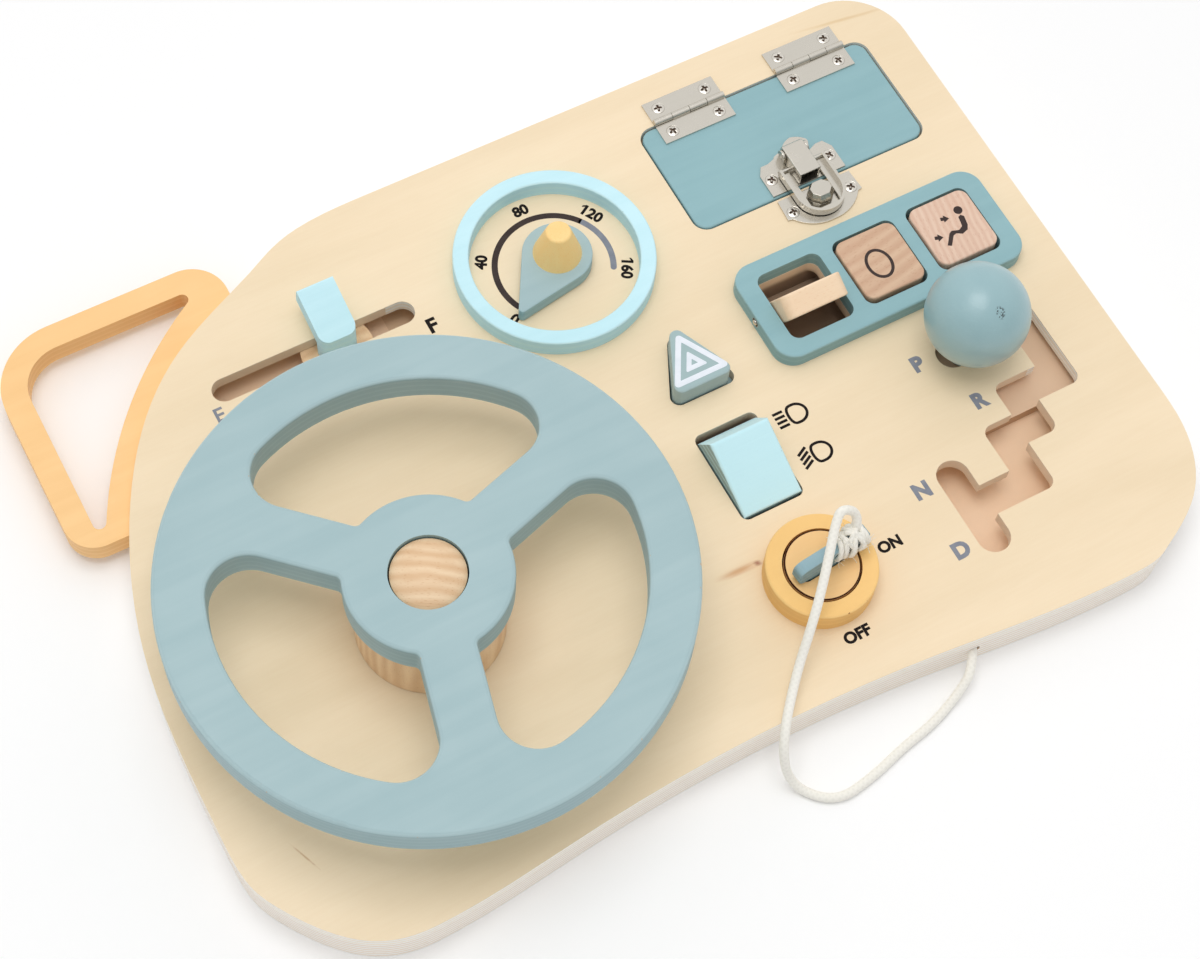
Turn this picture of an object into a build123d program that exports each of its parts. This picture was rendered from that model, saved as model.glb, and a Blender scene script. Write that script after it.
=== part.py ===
"""Wooden busy board: a toy dashboard of three plywood layers with working controls.

Millimetres. X runs to the right along the board, Y towards its top edge and Z up, out of the
face that a child plays on. The origin is at the middle of the underside. The board lies flat:
back panel, core panel and top panel, one on the other, with every mechanism held between them.
"""
from build123d import *
import os
from math import asin, cos, degrees, pi, radians, sin, tan

os.makedirs("parts", exist_ok=True)

# ---------------------------------------------------------------- clearances
glue_gap = 0.05        # round a glued or driven piece in its hole
running_gap = 0.08     # radial, pin or shaft in its bore
loose_gap = 0.3        # between pieces that slide or turn past each other
panel_gap = 0.7        # round a button, tile or knob stem in its cut-out

# ---------------------------------------------------------------- plywood layers
back_thickness = 5.5
core_thickness = 9.0
top_thickness = 5.5
core_floor = back_thickness
core_top = core_floor + core_thickness
face = core_top + top_thickness

# ---------------------------------------------------------------- board outline
board_left = -194.1
board_right = 196.0
board_top = 135.0
board_bottom = -139.3
corner_radius = 26.5
crest_x = -40.5            # where the straight top edge starts to fall to the left
right_taper = 1.1          # the right edge leans in by this much at its foot
right_foot_y = -70.0
foot_right = (141.3, board_bottom)                      # lowest place of the bottom edge
foot_left = (-141.9, -138.5)
shoulder = (board_left, -79.9)                          # widest place of the left side
foot_right_bend = [(193.1, -99.4), (180.4, -122.8), (158.4, -136.4)]
foot_waist = [(57.0, -132.8), (-12.0, -129.7), (-83.4, -133.7)]
foot_left_bend = [(-169.2, -129.8), (-188.0, -107.0)]
left_sweep = [(-189.1, 2.0), (-169.2, 56.6), (-129.4, 103.4), (-91.2, 123.1)]

# ---------------------------------------------------------------- carry handle
handle_left = -196.0
handle_top = 139.3
handle_right = -101.0
handle_bottom = 44.5
handle_top_corner = 27.0
handle_end_corner = 15.0
handle_foot_corner = 12.0
handle_bar = 10.0
grip_foot_y = 41.7         # the grip opening's long side bends along the board's edge
grip_bend = (-153.0, 95.1)
grip_end_x = -109.2
tongue_foot_x = -167.5     # the tongue glued between the panels ends in an arc
tongue_bend = (-145.6, 78.0)
tongue_end_y = 112.0
grip_corner = 2.5
grip_top_corner = 17.0

# ---------------------------------------------------------------- steering wheel
wheel_x = -95.1
wheel_y = -38.5
wheel_radius = 93.8
wheel_rim = 18.1
wheel_thickness = 13.0
wheel_height = 30.7        # underside above the face
wheel_hub = 30.0
wheel_bore = 14.0
wheel_edge = 1.6
spoke_count = 3
spoke_width = 20.0
spoke_angle = 16.7
spoke_rim_corner = 14.0
spoke_hub_corner = 2.5
spacer_radius = 27.3
cap_gap = 0.6              # dark ring round the domed cap
cap_dome = 4.0
cap_seat = 6.0             # depth of the cap in the spacer
nut_well_radius = 9.0
nut_well_depth = 10.0
bolt_radius = 3.0
bolt_head_radius = 6.5
bolt_head_height = 3.4
bolt_head_edge = 1.0
washer_radius = 6.5
washer_thickness = 1.2
nut_radius = 5.6
nut_height = 5.0
bolt_tail = 1.5
back_recess = 4.0          # depth of the bolt-head recesses in the back panel
wheel_screw_circle = 20.5
wheel_screw_count = 3
wheel_screw_length = 32.0
wheel_screw_depth = 6.0    # head below the spacer's underside

# ---------------------------------------------------------------- wood screws
screw_head = 2.6
screw_head_height = 1.6
screw_shank = 1.0
screw_length = 4.6
screw_crown = 0.5
panel_screw_head = 3.5
panel_screw_shank = 1.6
panel_screw_head_height = 2.4

# ---------------------------------------------------------------- fuel lever
fuel_x = -74.8
fuel_y = 80.8
fuel_slot_left = -125.9
fuel_slot_right = -42.4
fuel_slot_width = 10.0
fuel_width = 15.0
fuel_stem_corner = 4.0
fuel_front = 4.7           # front of the lever ahead of the slot's centreline
fuel_reach = 18.7          # tip behind the slot's centreline
fuel_bar = 8.0
fuel_front_height = 9.4
fuel_tip_height = 16.4
fuel_nose = 1.2            # the tip's upper edge stands back by this much
fuel_edge = 0.8
fuel_carriage_radius = 14.2
fuel_travel_left = 42.0
fuel_travel_right = 23.0

# ---------------------------------------------------------------- speed gauge
gauge_x = 14.2
gauge_y = 73.0
gauge_outer = 39.2
gauge_inner = 33.0
gauge_height = 8.0
gauge_edge = 0.8
pointer_x = 15.9            # the pointer turns a little off the ring's middle
pointer_y = 74.1
pointer_round = 13.6
pointer_reach = 29.8
pointer_tip = 1.6
pointer_thickness = 6.4
pointer_lift = 0.6
pointer_edge = 0.6
pointer_angle = 214.5
knob_base = 9.5
knob_top = 4.8
knob_height = 15.0
knob_edge = 1.2
gauge_bolt_radius = 2.0
gauge_bolt_head = 4.5
gauge_bolt_head_height = 2.6
gauge_bolt_depth = 12.0    # thread in the knob

# ---------------------------------------------------------------- hazard button
hazard_x = 39.05
hazard_base_y = -2.8
hazard_base = 31.3         # the cut-out, between its sharp corners, before rounding
hazard_button_base = 29.0  # the button is narrower than its cut-out
hazard_button_shift = -0.8 # and stands nearer to the cut-out's left corner
hazard_peak = 31.4
hazard_corner = 3.6
hazard_proud = 9.0
hazard_edge = 1.0
hazard_flange = 3.0
hazard_flange_lip = 2.6
hazard_travel = 4.0
pad_radius = 7.0           # foam pad that pushes the button back up

# ---------------------------------------------------------------- light rocker
rocker_x = 38.05
rocker_y = -36.2
rocker_slot_width = 26.3
rocker_slot_length = 39.0
rocker_slot_corner = 3.0
rocker_tilt = 22.0
rocker_rise = 12.3         # flat top above the axle
rocker_half_top = 15.0
rocker_half_waist = 17.2
rocker_waist_drop = 2.0
rocker_half_keel = 8.0
rocker_keel = 5.5
rocker_edge = 1.2
rocker_pin_radius = 2.0
rocker_pin_overhang = 7.0
rocker_pin_bore = rocker_slot_width + 2 * rocker_pin_overhang

# ---------------------------------------------------------------- ignition lock and key
lock_x = 38.1
lock_y = -87.0
lock_ring_radius = 20.8
lock_ring_height = 10.0
lock_edge = 1.0
barrel_radius = 14.0
barrel_neck = 8.0
barrel_washer_radius = 12.5
barrel_washer_thickness = 2.0
barrel_screw_length = 6.0
keyway_depth = 8.0
keyway_gap = 0.5
key_angle = 6.0
key_thickness = 4.5
key_blade = 19.0           # length of the blade in the keyway
key_left = 12.4            # bow to the left of the lock's centre
key_right = 19.0           # bow to the right
key_height = 10.0          # bow above the barrel
key_corner = 3.4
key_edge = 0.5
key_hole_radius = 2.0
key_hole_inset = 7.0
key_withdrawal = 9.0

# ---------------------------------------------------------------- glove-box door and hinges
door_left = 71.8
door_right = 177.5
door_bottom = 60.1
door_top = 112.8
door_corner = 6.2
door_gap = 0.9
door_edge = 1.0
door_ledge = 3.0
knuckle_radius = 1.4
hinge_pin_radius = 0.75
hinge_axis_y = 113.0
hinge_length = 32.0
hinge_leaf_width = 10.4
hinge_leaf = 0.8
hinge_knuckles = 4
knuckle_gap = 0.2
hinge_left_x = 96.5
hinge_right_x = 152.5
hinge_screw_spacing = 21.4
hinge_screw_inset = 6.1
hinge_axis_z = face + knuckle_radius

# ---------------------------------------------------------------- latch
latch_x = 122.6
latch_plate = 0.9
latch_half_width = 16.6
latch_foot_y = 61.6
latch_shoulder_y = 72.2
latch_lobe_y = 76.0
latch_lobe_outer = 14.2
latch_lobe_inner = 11.0
latch_dome_foot = (7.6, 74.5)
latch_dome_side = (4.8, 80.1)
latch_dome_top = 82.5
latch_screw_spacing = 26.6
latch_screw_y = 68.8
lever_pivot_y = 75.0
lever_pivot_rise = 3.3
lever_pivot_z = face + latch_plate + lever_pivot_rise
lever_round = 3.0
lever_front_y = 62.4
lever_half_width = 4.7
lever_wall = 1.0
lever_skirt = 2.0          # depth of the lever's sides below its pivot
latch_pin_radius = 0.8
ear_thickness = 1.0
ear_half_length = 2.4
loop_pivot_y = 69.0
loop_float = 0.6           # air below the loop, above the latch's plates
loop_floor = face + latch_plate + loop_float
loop_pivot_rise = 1.7
loop_pivot_z = loop_floor + loop_pivot_rise
loop_cutback = 1.0         # how far the loop's cutters pass its pivot
loop_web = 1.0
loop_rim = 3.5
loop_wall = 1.2
loop_half_width = 10.3
loop_window = 6.1
loop_centre_y = 54.8
loop_window_front_y = 48.0
catch_top_y = 58.9
catch_tip_y = 49.6
catch_bottom_y = 42.2
catch_half_width = 17.0
catch_top_half_width = 16.4
catch_heel = (15.0, 49.2)
catch_belly = (8.5, 43.8)
catch_corner = 1.2
catch_screw_spacing = 26.4
catch_screw_y = 52.0
catch_y = 53.6
catch_base_width = 10.4
catch_base_length = 9.4
catch_crown_width = 7.6
catch_crown_length = 5.2
catch_height = 5.3
catch_crown_shift = 1.0

# ---------------------------------------------------------------- tumbling tiles
frame_left = 69.7
frame_right = 180.6
frame_bottom = -8.1
frame_top = 36.6
frame_height = 7.0
frame_corner = 8.6
frame_edge = 0.9
window_width = 27.9
window_length = 31.0
window_pitch = 33.5
window_corner = 4.0
tile_count = 3
tile_width = 26.4
tile_length = 28.0
tile_thickness = 9.5
tile_corner = 4.0
tile_edge = 0.7
tile_rod_radius = 2.0
first_tile_angle = 115.0   # the left tile rests on edge, leaning to the foot of the board

# ---------------------------------------------------------------- gear shift
gate_width = 13.0
gate_corner = 4.0
gate_park = (131.8, -30.0)
gate_column_x = 163.6
gate_reverse_y = -55.9
gate_step_x = 144.1
gate_step_y = -69.6
gate_inner_x = 130.4
gate_drive_x = 104.0
gate_leg_y = -89.2
gate_neutral_y = -75.0
gate_drive_y = -102.7
ball_radius = 20.0
ball_height = 24.0         # centre above the face
shift_rest_x = 138.0       # where the knob stands at rest, a little inside the park end
stem_radius = 5.8
stem_socket = 9.0          # depth of the stem in the ball
shift_flange_radius = 11.0
shift_flange_thickness = 3.0
gate_shelf = 5.3           # raised floor under the P and R legs
gate_shelf_y = -61.0       # its edge, seen through the slot
shift_screw_length = 14.0
shift_rest = (shift_rest_x, gate_park[1])

# ---------------------------------------------------------------- key cord
cord_diameter = 3.5
arc_share = 0.45           # share of the shorter run that a bend of the cord takes up
cord_route = [(39.1, -87.2, 48.5), (31.3, -96.4, 43.5), (21.1, -107.1, 37.5), (9.5, -117.7, 26.0),
              (-8.8, -138.4, 26.5), (-7.0, -146.6, 1.9), (4.6, -159.8, 1.9), (21.3, -157.6, 1.9),
              (37.2, -153.0, 1.9), (50.6, -150.6, 1.9), (64.2, -145.6, 2.6), (74.8, -140.2, 9.8),
              (83.8, -121.4, 10.0)]
knot_route = [(51.5, -85.6, 40.0), (53.5, -79.5, 51.0)]   # the tied loop, up out of the knot
knot_lead = 11.6           # its last run lies in line with the cord's first
stop_knot_radius = 3.8
knot_length = 11.0
knot_width = 9.6
knot_height = 9.5
knot_corner = 3.2
knot_rise = 8.5            # middle of the knot above the barrel
knot_offset = 12.0         # along the key from the lock's centre

# ---------------------------------------------------------------- back panel fasteners
panel_screws = [(-150.0, 15.0), (-165.0, -95.0), (-60.0, -120.0), (60.0, -122.0),
                (170.0, -112.0), (186.0, 15.0), (186.0, 118.0), (40.0, 124.0), (-80.0, 112.0)]


ON_FLOOR = (Align.CENTER, Align.CENTER, Align.MIN)      # a primitive that stands on its place
UNDER = (Align.CENTER, Align.CENTER, Align.MAX)         # a primitive that hangs below its place


# ================================================================ helpers
def save(piece, name):
    """Label a finished piece and write its STEP file."""
    piece.part.label = name
    export_step(piece.part, f"parts/{name}.step")


def dome(radius, rim_z, rise):
    """Half of a dome's outline, from its rim to its top on the axis; for use in a BuildLine."""
    sphere = (radius ** 2 + rise ** 2) / (2 * rise)
    halfway_z = rim_z + rise - sphere + (sphere ** 2 - radius ** 2 / 4) ** 0.5
    ThreePointArc((radius, rim_z), (radius / 2, halfway_z), (0, rim_z + rise))


def wood_screw(x, y, head_z):
    """A countersunk wood screw, point down, with the rim of its domed head at head_z."""
    with BuildPart(mode=Mode.PRIVATE) as screw:
        with BuildSketch(Plane.XZ):
            with BuildLine():
                Polyline((0, -screw_length), (screw_shank, 3 * screw_shank - screw_length),
                         (screw_shank, -screw_head_height), (screw_head, 0))
                dome(screw_head, 0, screw_crown)
                Line((0, screw_crown), (0, -screw_length))
            make_face()
        revolve(axis=Axis.Z)
    return screw.part.moved(Location((x, y, head_z)))


def countersinks(places, top_z):
    """Cutters for the heads and shanks of wood screws at the given places."""
    shank = screw_shank + glue_gap
    head = screw_head + glue_gap
    depth = screw_length + loose_gap
    with BuildPart(mode=Mode.PRIVATE) as cutter:
        with BuildSketch(Plane.XZ):
            with BuildLine():
                Polyline((0, -depth), (shank, -depth), (shank, -screw_head_height), (head, glue_gap),
                         (head, screw_crown), (0, screw_crown), close=True)
            make_face()
        revolve(axis=Axis.Z)
    return [cutter.part.moved(Location((x, y, top_z))) for x, y in places]


def rounded_box(width, length, radius, low_z, high_z, x, y, edge):
    """An upright block with rounded corners, its top edge eased by a fillet."""
    with BuildPart(mode=Mode.PRIVATE) as block:
        with BuildSketch(Plane((x, y, low_z))):
            RectangleRounded(width, length, radius)
        extrude(amount=high_z - low_z)
        fillet(block.faces().sort_by(Axis.Z)[-1].edges(), edge)
    return block.part


def bore(radius, depth):
    """Cut a round hole upwards from the current place."""
    Cylinder(radius, depth, align=ON_FLOOR, mode=Mode.SUBTRACT)


def cord_radii(route):
    """Bend radius at each corner of a cord: its arc takes a share of the shorter run beside it."""
    radii = []
    for before, corner, after in zip(route, route[1:], route[2:]):
        run_in = Vector(corner) - Vector(before)
        run_out = Vector(after) - Vector(corner)
        shorter = min(run_in.length, run_out.length)
        radii.append(arc_share * shorter / tan(radians(run_in.get_angle(run_out)) / 2))
    return radii


def triangle_outline(grow, base=hazard_base):
    """The hazard triangle, pointing to the top of the board, larger all round by grow."""
    with BuildSketch(mode=Mode.PRIVATE) as outline:
        with BuildLine():
            Polyline((-base / 2, 0), (base / 2, 0), (0, hazard_peak), close=True)
        make_face()
        fillet(outline.vertices(), hazard_corner)
        if grow != 0:
            offset(amount=grow)
    return outline.sketch


def leg(start, end, width, corner):
    """One straight leg of the shift gate: a rectangle that reaches half a width past both ends."""
    mid_x = (start[0] + end[0]) / 2
    mid_y = (start[1] + end[1]) / 2
    span_x = abs(end[0] - start[0]) + width
    span_y = abs(end[1] - start[1]) + width
    with Locations((mid_x, mid_y)):
        RectangleRounded(span_x, span_y, corner)


def gate_outline(width, corner):
    """The stepped shift gate with its P, R, N and D places."""
    half_round = width / 2 - glue_gap
    route = [(gate_column_x, gate_park[1]), (gate_column_x, gate_reverse_y), (gate_step_x, gate_reverse_y),
             (gate_step_x, gate_step_y), (gate_inner_x, gate_step_y), (gate_inner_x, gate_leg_y),
             (gate_drive_x, gate_leg_y)]
    with BuildSketch(mode=Mode.PRIVATE) as gate:
        leg(gate_park, route[0], width, half_round)
        for start, end in zip(route, route[1:]):
            leg(start, end, width, corner)
        leg((gate_drive_x, gate_neutral_y), (gate_drive_x, gate_drive_y), width, half_round)
    return gate.sketch


# ================================================================ outlines
with BuildSketch() as board_outline:
    with BuildLine():
        top_edge = Line((crest_x, board_top), (board_right - corner_radius, board_top))
        top_corner = JernArc(top_edge @ 1, (1, 0), corner_radius, -90)
        right_edge = Line(top_corner @ 1, (board_right - right_taper, right_foot_y))
        Spline(right_edge @ 1, *foot_right_bend, foot_right, tangents=[right_edge % 1, (-1, 0)])
        Spline(foot_right, *foot_waist, foot_left, tangents=[(-1, 0), (-1, 0)])
        Spline(foot_left, *foot_left_bend, shoulder, tangents=[(-1, 0), (0, 1)])
        Spline(shoulder, *left_sweep, (crest_x, board_top), tangents=[(0, 1), (1, 0)])
    make_face()

grip_left = handle_left + handle_bar
grip_top = handle_top - handle_bar
with BuildSketch() as grip_opening:
    with BuildLine():
        Polyline((grip_left, grip_foot_y), (grip_left, grip_top), (grip_end_x, grip_top))
        ThreePointArc((grip_end_x, grip_top), grip_bend, (grip_left, grip_foot_y))
    make_face()
    fillet(grip_opening.vertices().group_by(Axis.X)[0].sort_by(Axis.Y)[-1], grip_top_corner)
    fillet(grip_opening.vertices().sort_by(Axis.Y)[0], grip_corner)
    fillet(grip_opening.vertices().sort_by(Axis.X)[-1], grip_corner)

with BuildSketch() as handle_outline:
    with BuildLine():
        Polyline((tongue_foot_x, handle_bottom), (handle_left, handle_bottom), (handle_left, handle_top),
                 (handle_right, handle_top), (handle_right, tongue_end_y))
        ThreePointArc((handle_right, tongue_end_y), tongue_bend, (tongue_foot_x, handle_bottom))
    make_face()
    left_corners = handle_outline.vertices().group_by(Axis.X)[0].sort_by(Axis.Y)
    fillet(left_corners[0], handle_foot_corner)
    fillet(handle_outline.vertices().group_by(Axis.Y)[-1].sort_by(Axis.X)[0], handle_top_corner)
    fillet(handle_outline.vertices().group_by(Axis.Y)[-1].sort_by(Axis.X)[-1], handle_end_corner)
    add(grip_opening.sketch, mode=Mode.SUBTRACT)

with BuildSketch() as handle_recess:
    add(handle_outline.sketch)
    offset(amount=glue_gap)

# ================================================================ derived places
pointer_centre = (pointer_x, pointer_y)
wheel_centre = (wheel_x, wheel_y)
lock_centre = (lock_x, lock_y)
door_centre = ((door_left + door_right) / 2, (door_bottom + door_top) / 2)
door_opening_width = door_right - door_left
door_opening_length = door_top - door_bottom
frame_centre = ((frame_left + frame_right) / 2, (frame_bottom + frame_top) / 2)
tile_rod_z = face + frame_height / 2
tile_places = [(frame_centre[0] + (number - (tile_count - 1) / 2) * window_pitch, frame_centre[1])
               for number in range(tile_count)]
cap_radius = wheel_bore - cap_gap
wheel_under = face + wheel_height
wheel_over = wheel_under + wheel_thickness
cap_floor = wheel_under - cap_seat
nut_floor = cap_floor - nut_well_depth
fuel_slot_x = (fuel_slot_left + fuel_slot_right) / 2
fuel_slot_length = fuel_slot_right - fuel_slot_left
slider_low = core_floor + loose_gap
slider_high = core_top - loose_gap
rocker_axle_z = core_top
hinge_places = [hinge_left_x, hinge_right_x]
leaf_low = face
leaf_high = face + hinge_leaf
latch_high = face + latch_plate
shift_flange_high = core_top - loose_gap
shift_flange_low = shift_flange_high - shift_flange_thickness
cord_start = Vector(cord_route[0])
knot_shoulder = cord_start + (cord_start - Vector(cord_route[1])).normalized() * knot_lead
knot_loop = [*knot_route, knot_shoulder, cord_start]
stop_knot_centre = cord_route[-1]
cord_entry = Vector(cord_route[-2]) - Vector(stop_knot_centre)
hinge_board_screws = [(x + side * hinge_screw_spacing / 2, hinge_axis_y + hinge_screw_inset)
                      for x in hinge_places for side in (-1, 1)]
hinge_door_screws = [(x + side * hinge_screw_spacing / 2, hinge_axis_y - hinge_screw_inset)
                     for x in hinge_places for side in (-1, 1)]
latch_screws = [(latch_x + side * latch_screw_spacing / 2, latch_screw_y) for side in (-1, 1)]
catch_screws = [(latch_x + side * catch_screw_spacing / 2, catch_screw_y) for side in (-1, 1)]

pocket_lip = shift_flange_radius - gate_width / 2 + loose_gap
gate_pocket = gate_outline(gate_width + 2 * pocket_lip, gate_corner + pocket_lip)

# ================================================================ plywood panels
with BuildPart() as back_panel:
    with BuildSketch():
        add(board_outline.sketch)
    extrude(amount=back_thickness)
    with Locations(wheel_centre):
        bore(bolt_head_radius + loose_gap, back_recess)
        bore(bolt_radius + glue_gap, back_thickness)
    with Locations(pointer_centre):
        bore(gauge_bolt_head + loose_gap, back_recess)
        bore(gauge_bolt_radius + loose_gap, back_thickness)
    with Locations([(x, y, 0) for x, y in panel_screws]):
        Cone(panel_screw_head + glue_gap, panel_screw_shank + glue_gap, panel_screw_head_height,
             align=ON_FLOOR, mode=Mode.SUBTRACT)
        bore(panel_screw_shank + glue_gap, back_thickness)
save(back_panel, "back_panel")

with BuildPart() as core_panel:
    with BuildSketch(Plane.XY.offset(core_floor)):
        add(board_outline.sketch)
        add(handle_recess.sketch, mode=Mode.SUBTRACT)
        with Locations(wheel_centre):
            Circle(bolt_radius + glue_gap, mode=Mode.SUBTRACT)
        with Locations(pointer_centre):
            Circle(gauge_bolt_radius + loose_gap, mode=Mode.SUBTRACT)
        fuel_pocket_length = 2 * (fuel_carriage_radius + loose_gap) + fuel_travel_left + fuel_travel_right
        with Locations((fuel_x + (fuel_travel_right - fuel_travel_left) / 2, fuel_y)):
            SlotOverall(fuel_pocket_length + 2 * loose_gap, 2 * (fuel_carriage_radius + loose_gap),
                        mode=Mode.SUBTRACT)
        with Locations((hazard_x, hazard_base_y)):
            add(triangle_outline(hazard_flange_lip + loose_gap), mode=Mode.SUBTRACT)
        with Locations((rocker_x, rocker_y)):
            RectangleRounded(rocker_slot_width, rocker_slot_length, rocker_slot_corner, mode=Mode.SUBTRACT)
        with Locations(lock_centre):
            Circle(barrel_washer_radius + loose_gap, mode=Mode.SUBTRACT)
        with Locations(door_centre):
            RectangleRounded(door_opening_width - 2 * door_ledge, door_opening_length - 2 * door_ledge,
                             door_corner - door_ledge, mode=Mode.SUBTRACT)
        with Locations(frame_centre):
            RectangleRounded((tile_count - 1) * window_pitch + window_width, window_length, window_corner,
                             mode=Mode.SUBTRACT)
        add(gate_pocket, mode=Mode.SUBTRACT)
        with Locations((stop_knot_centre[0], stop_knot_centre[1])):
            Circle(stop_knot_radius + loose_gap, mode=Mode.SUBTRACT)
    extrude(amount=core_thickness)
    with BuildSketch(Plane(origin=stop_knot_centre, z_dir=cord_entry)):
        Circle(cord_diameter / 2 + loose_gap)
    extrude(amount=cord_entry.length, mode=Mode.SUBTRACT)
    with Locations((rocker_x, rocker_y, rocker_axle_z)):
        Cylinder(rocker_pin_radius + glue_gap, rocker_pin_bore, rotation=(0, 90, 0), mode=Mode.SUBTRACT)
    with Locations([(x, y, core_floor) for x, y in panel_screws]):
        bore(panel_screw_shank + glue_gap, core_thickness)
save(core_panel, "core_panel")

with BuildPart() as top_panel:
    with BuildSketch(Plane.XY.offset(core_top)):
        add(board_outline.sketch)
        with Locations(wheel_centre):
            Circle(bolt_radius + glue_gap, mode=Mode.SUBTRACT)
        with Locations(pointer_centre):
            Circle(gauge_bolt_radius + running_gap, mode=Mode.SUBTRACT)
        with Locations((fuel_slot_x, fuel_y)):
            SlotOverall(fuel_slot_length, fuel_slot_width, mode=Mode.SUBTRACT)
        with Locations((hazard_x, hazard_base_y)):
            add(triangle_outline(0), mode=Mode.SUBTRACT)
        with Locations((rocker_x, rocker_y)):
            RectangleRounded(rocker_slot_width, rocker_slot_length, rocker_slot_corner, mode=Mode.SUBTRACT)
        with Locations(lock_centre):
            Circle(barrel_neck + running_gap, mode=Mode.SUBTRACT)
        with Locations(door_centre):
            RectangleRounded(door_opening_width, door_opening_length, door_corner, mode=Mode.SUBTRACT)
        with Locations(tile_places):
            RectangleRounded(window_width, window_length, window_corner, mode=Mode.SUBTRACT)
        add(gate_outline(gate_width, gate_corner), mode=Mode.SUBTRACT)
    extrude(amount=top_thickness)
    with Locations((rocker_x, rocker_y, rocker_axle_z)):
        Cylinder(rocker_pin_radius + glue_gap, rocker_pin_bore, rotation=(0, 90, 0), mode=Mode.SUBTRACT)
    for cutter in countersinks(hinge_board_screws, leaf_high) + countersinks(catch_screws, latch_high):
        add(cutter, mode=Mode.SUBTRACT)
save(top_panel, "top_panel")

with BuildPart() as side_handle:
    with BuildSketch(Plane.XY.offset(core_floor)):
        add(handle_outline.sketch)
    extrude(amount=core_thickness)
save(side_handle, "side_handle")

with BuildPart() as back_screws:
    with Locations([(x, y, 0) for x, y in panel_screws]):
        Cone(panel_screw_head, panel_screw_shank, panel_screw_head_height, align=ON_FLOOR)
        Cylinder(panel_screw_shank, core_top - loose_gap, align=ON_FLOOR)
save(back_screws, "back_screws")

# ================================================================ steering wheel
with BuildPart() as steering_wheel:
    with BuildSketch(Plane((wheel_x, wheel_y, wheel_under))):
        Circle(wheel_radius)
        Circle(wheel_bore, mode=Mode.SUBTRACT)
        with BuildSketch(mode=Mode.SUBTRACT) as wheel_openings:
            Circle(wheel_radius - wheel_rim)
            Circle(wheel_hub, mode=Mode.SUBTRACT)
            with PolarLocations(wheel_radius / 2, spoke_count, spoke_angle):
                Rectangle(wheel_radius, spoke_width, mode=Mode.SUBTRACT)
            corners = wheel_openings.vertices().sort_by(lambda vertex: vertex.center().length)
            fillet(corners[2 * spoke_count:], spoke_rim_corner)
            corners = wheel_openings.vertices().sort_by(lambda vertex: vertex.center().length)
            fillet(corners[:2 * spoke_count], spoke_hub_corner)
    extrude(amount=wheel_thickness)
    fillet(steering_wheel.faces().sort_by(Axis.Z)[-1].edges().filter_by(
        lambda edge: edge.length > 2 * pi * wheel_bore + 1 or edge.geom_type != GeomType.CIRCLE), wheel_edge)
    with BuildSketch(Plane((wheel_x, wheel_y, wheel_under))):
        with PolarLocations(wheel_screw_circle, wheel_screw_count, spoke_angle):
            Circle(panel_screw_shank + glue_gap)
    extrude(amount=face + wheel_screw_depth + wheel_screw_length + glue_gap - wheel_under, mode=Mode.SUBTRACT)
save(steering_wheel, "steering_wheel")

with BuildPart() as wheel_spacer:
    with BuildSketch(Plane((wheel_x, wheel_y, face + loose_gap))):
        Circle(spacer_radius)
        Circle(bolt_radius + running_gap, mode=Mode.SUBTRACT)
        with PolarLocations(wheel_screw_circle, wheel_screw_count, spoke_angle):
            Circle(panel_screw_shank + glue_gap, mode=Mode.SUBTRACT)
    extrude(amount=wheel_height - loose_gap)
    with BuildSketch(Plane((wheel_x, wheel_y, face))):
        with PolarLocations(wheel_screw_circle, wheel_screw_count, spoke_angle):
            Circle(panel_screw_head + loose_gap)
    extrude(amount=wheel_screw_depth, mode=Mode.SUBTRACT)
    with BuildSketch(Plane((wheel_x, wheel_y, nut_floor))):
        Circle(nut_well_radius)
    extrude(amount=wheel_height, mode=Mode.SUBTRACT)
    with BuildSketch(Plane((wheel_x, wheel_y, cap_floor))):
        Circle(cap_radius + glue_gap)
    extrude(amount=wheel_height, mode=Mode.SUBTRACT)
save(wheel_spacer, "wheel_spacer")

with BuildPart() as wheel_cap:
    with BuildSketch(Plane((wheel_x, wheel_y, 0), x_dir=(1, 0, 0), z_dir=(0, -1, 0))):
        with BuildLine():
            Polyline((0, cap_floor), (cap_radius, cap_floor), (cap_radius, wheel_over - wheel_edge))
            dome(cap_radius, wheel_over - wheel_edge, cap_dome)
            Line((0, wheel_over - wheel_edge + cap_dome), (0, cap_floor))
        make_face()
    revolve(axis=Axis((wheel_x, wheel_y, 0), (0, 0, 1)))
save(wheel_cap, "wheel_cap")

with BuildPart() as wheel_screws:
    with BuildSketch(Plane((wheel_x, wheel_y, face + wheel_screw_depth))):
        with PolarLocations(wheel_screw_circle, wheel_screw_count, spoke_angle):
            Circle(panel_screw_shank)
    extrude(amount=wheel_screw_length)
    with BuildSketch(Plane((wheel_x, wheel_y, face + wheel_screw_depth))):
        with PolarLocations(wheel_screw_circle, wheel_screw_count, spoke_angle):
            Circle(panel_screw_head)
    extrude(amount=-panel_screw_head_height)
save(wheel_screws, "wheel_screws")

wheel_bolt_plane = Plane((wheel_x, wheel_y, back_recess))
with BuildPart() as wheel_bolt:
    with BuildSketch(wheel_bolt_plane):
        Circle(bolt_radius)
    extrude(amount=nut_floor + washer_thickness + nut_height + bolt_tail - back_recess)
    with BuildSketch(wheel_bolt_plane):
        Circle(bolt_head_radius)
    extrude(amount=-bolt_head_height)
    fillet(wheel_bolt.faces().sort_by(Axis.Z)[0].edges(), bolt_head_edge)
save(wheel_bolt, "wheel_bolt")

with BuildPart() as wheel_washer:
    with BuildSketch(Plane((wheel_x, wheel_y, nut_floor + running_gap))):
        Circle(washer_radius)
        Circle(bolt_radius + glue_gap, mode=Mode.SUBTRACT)
    extrude(amount=washer_thickness)
save(wheel_washer, "wheel_washer")

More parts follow.
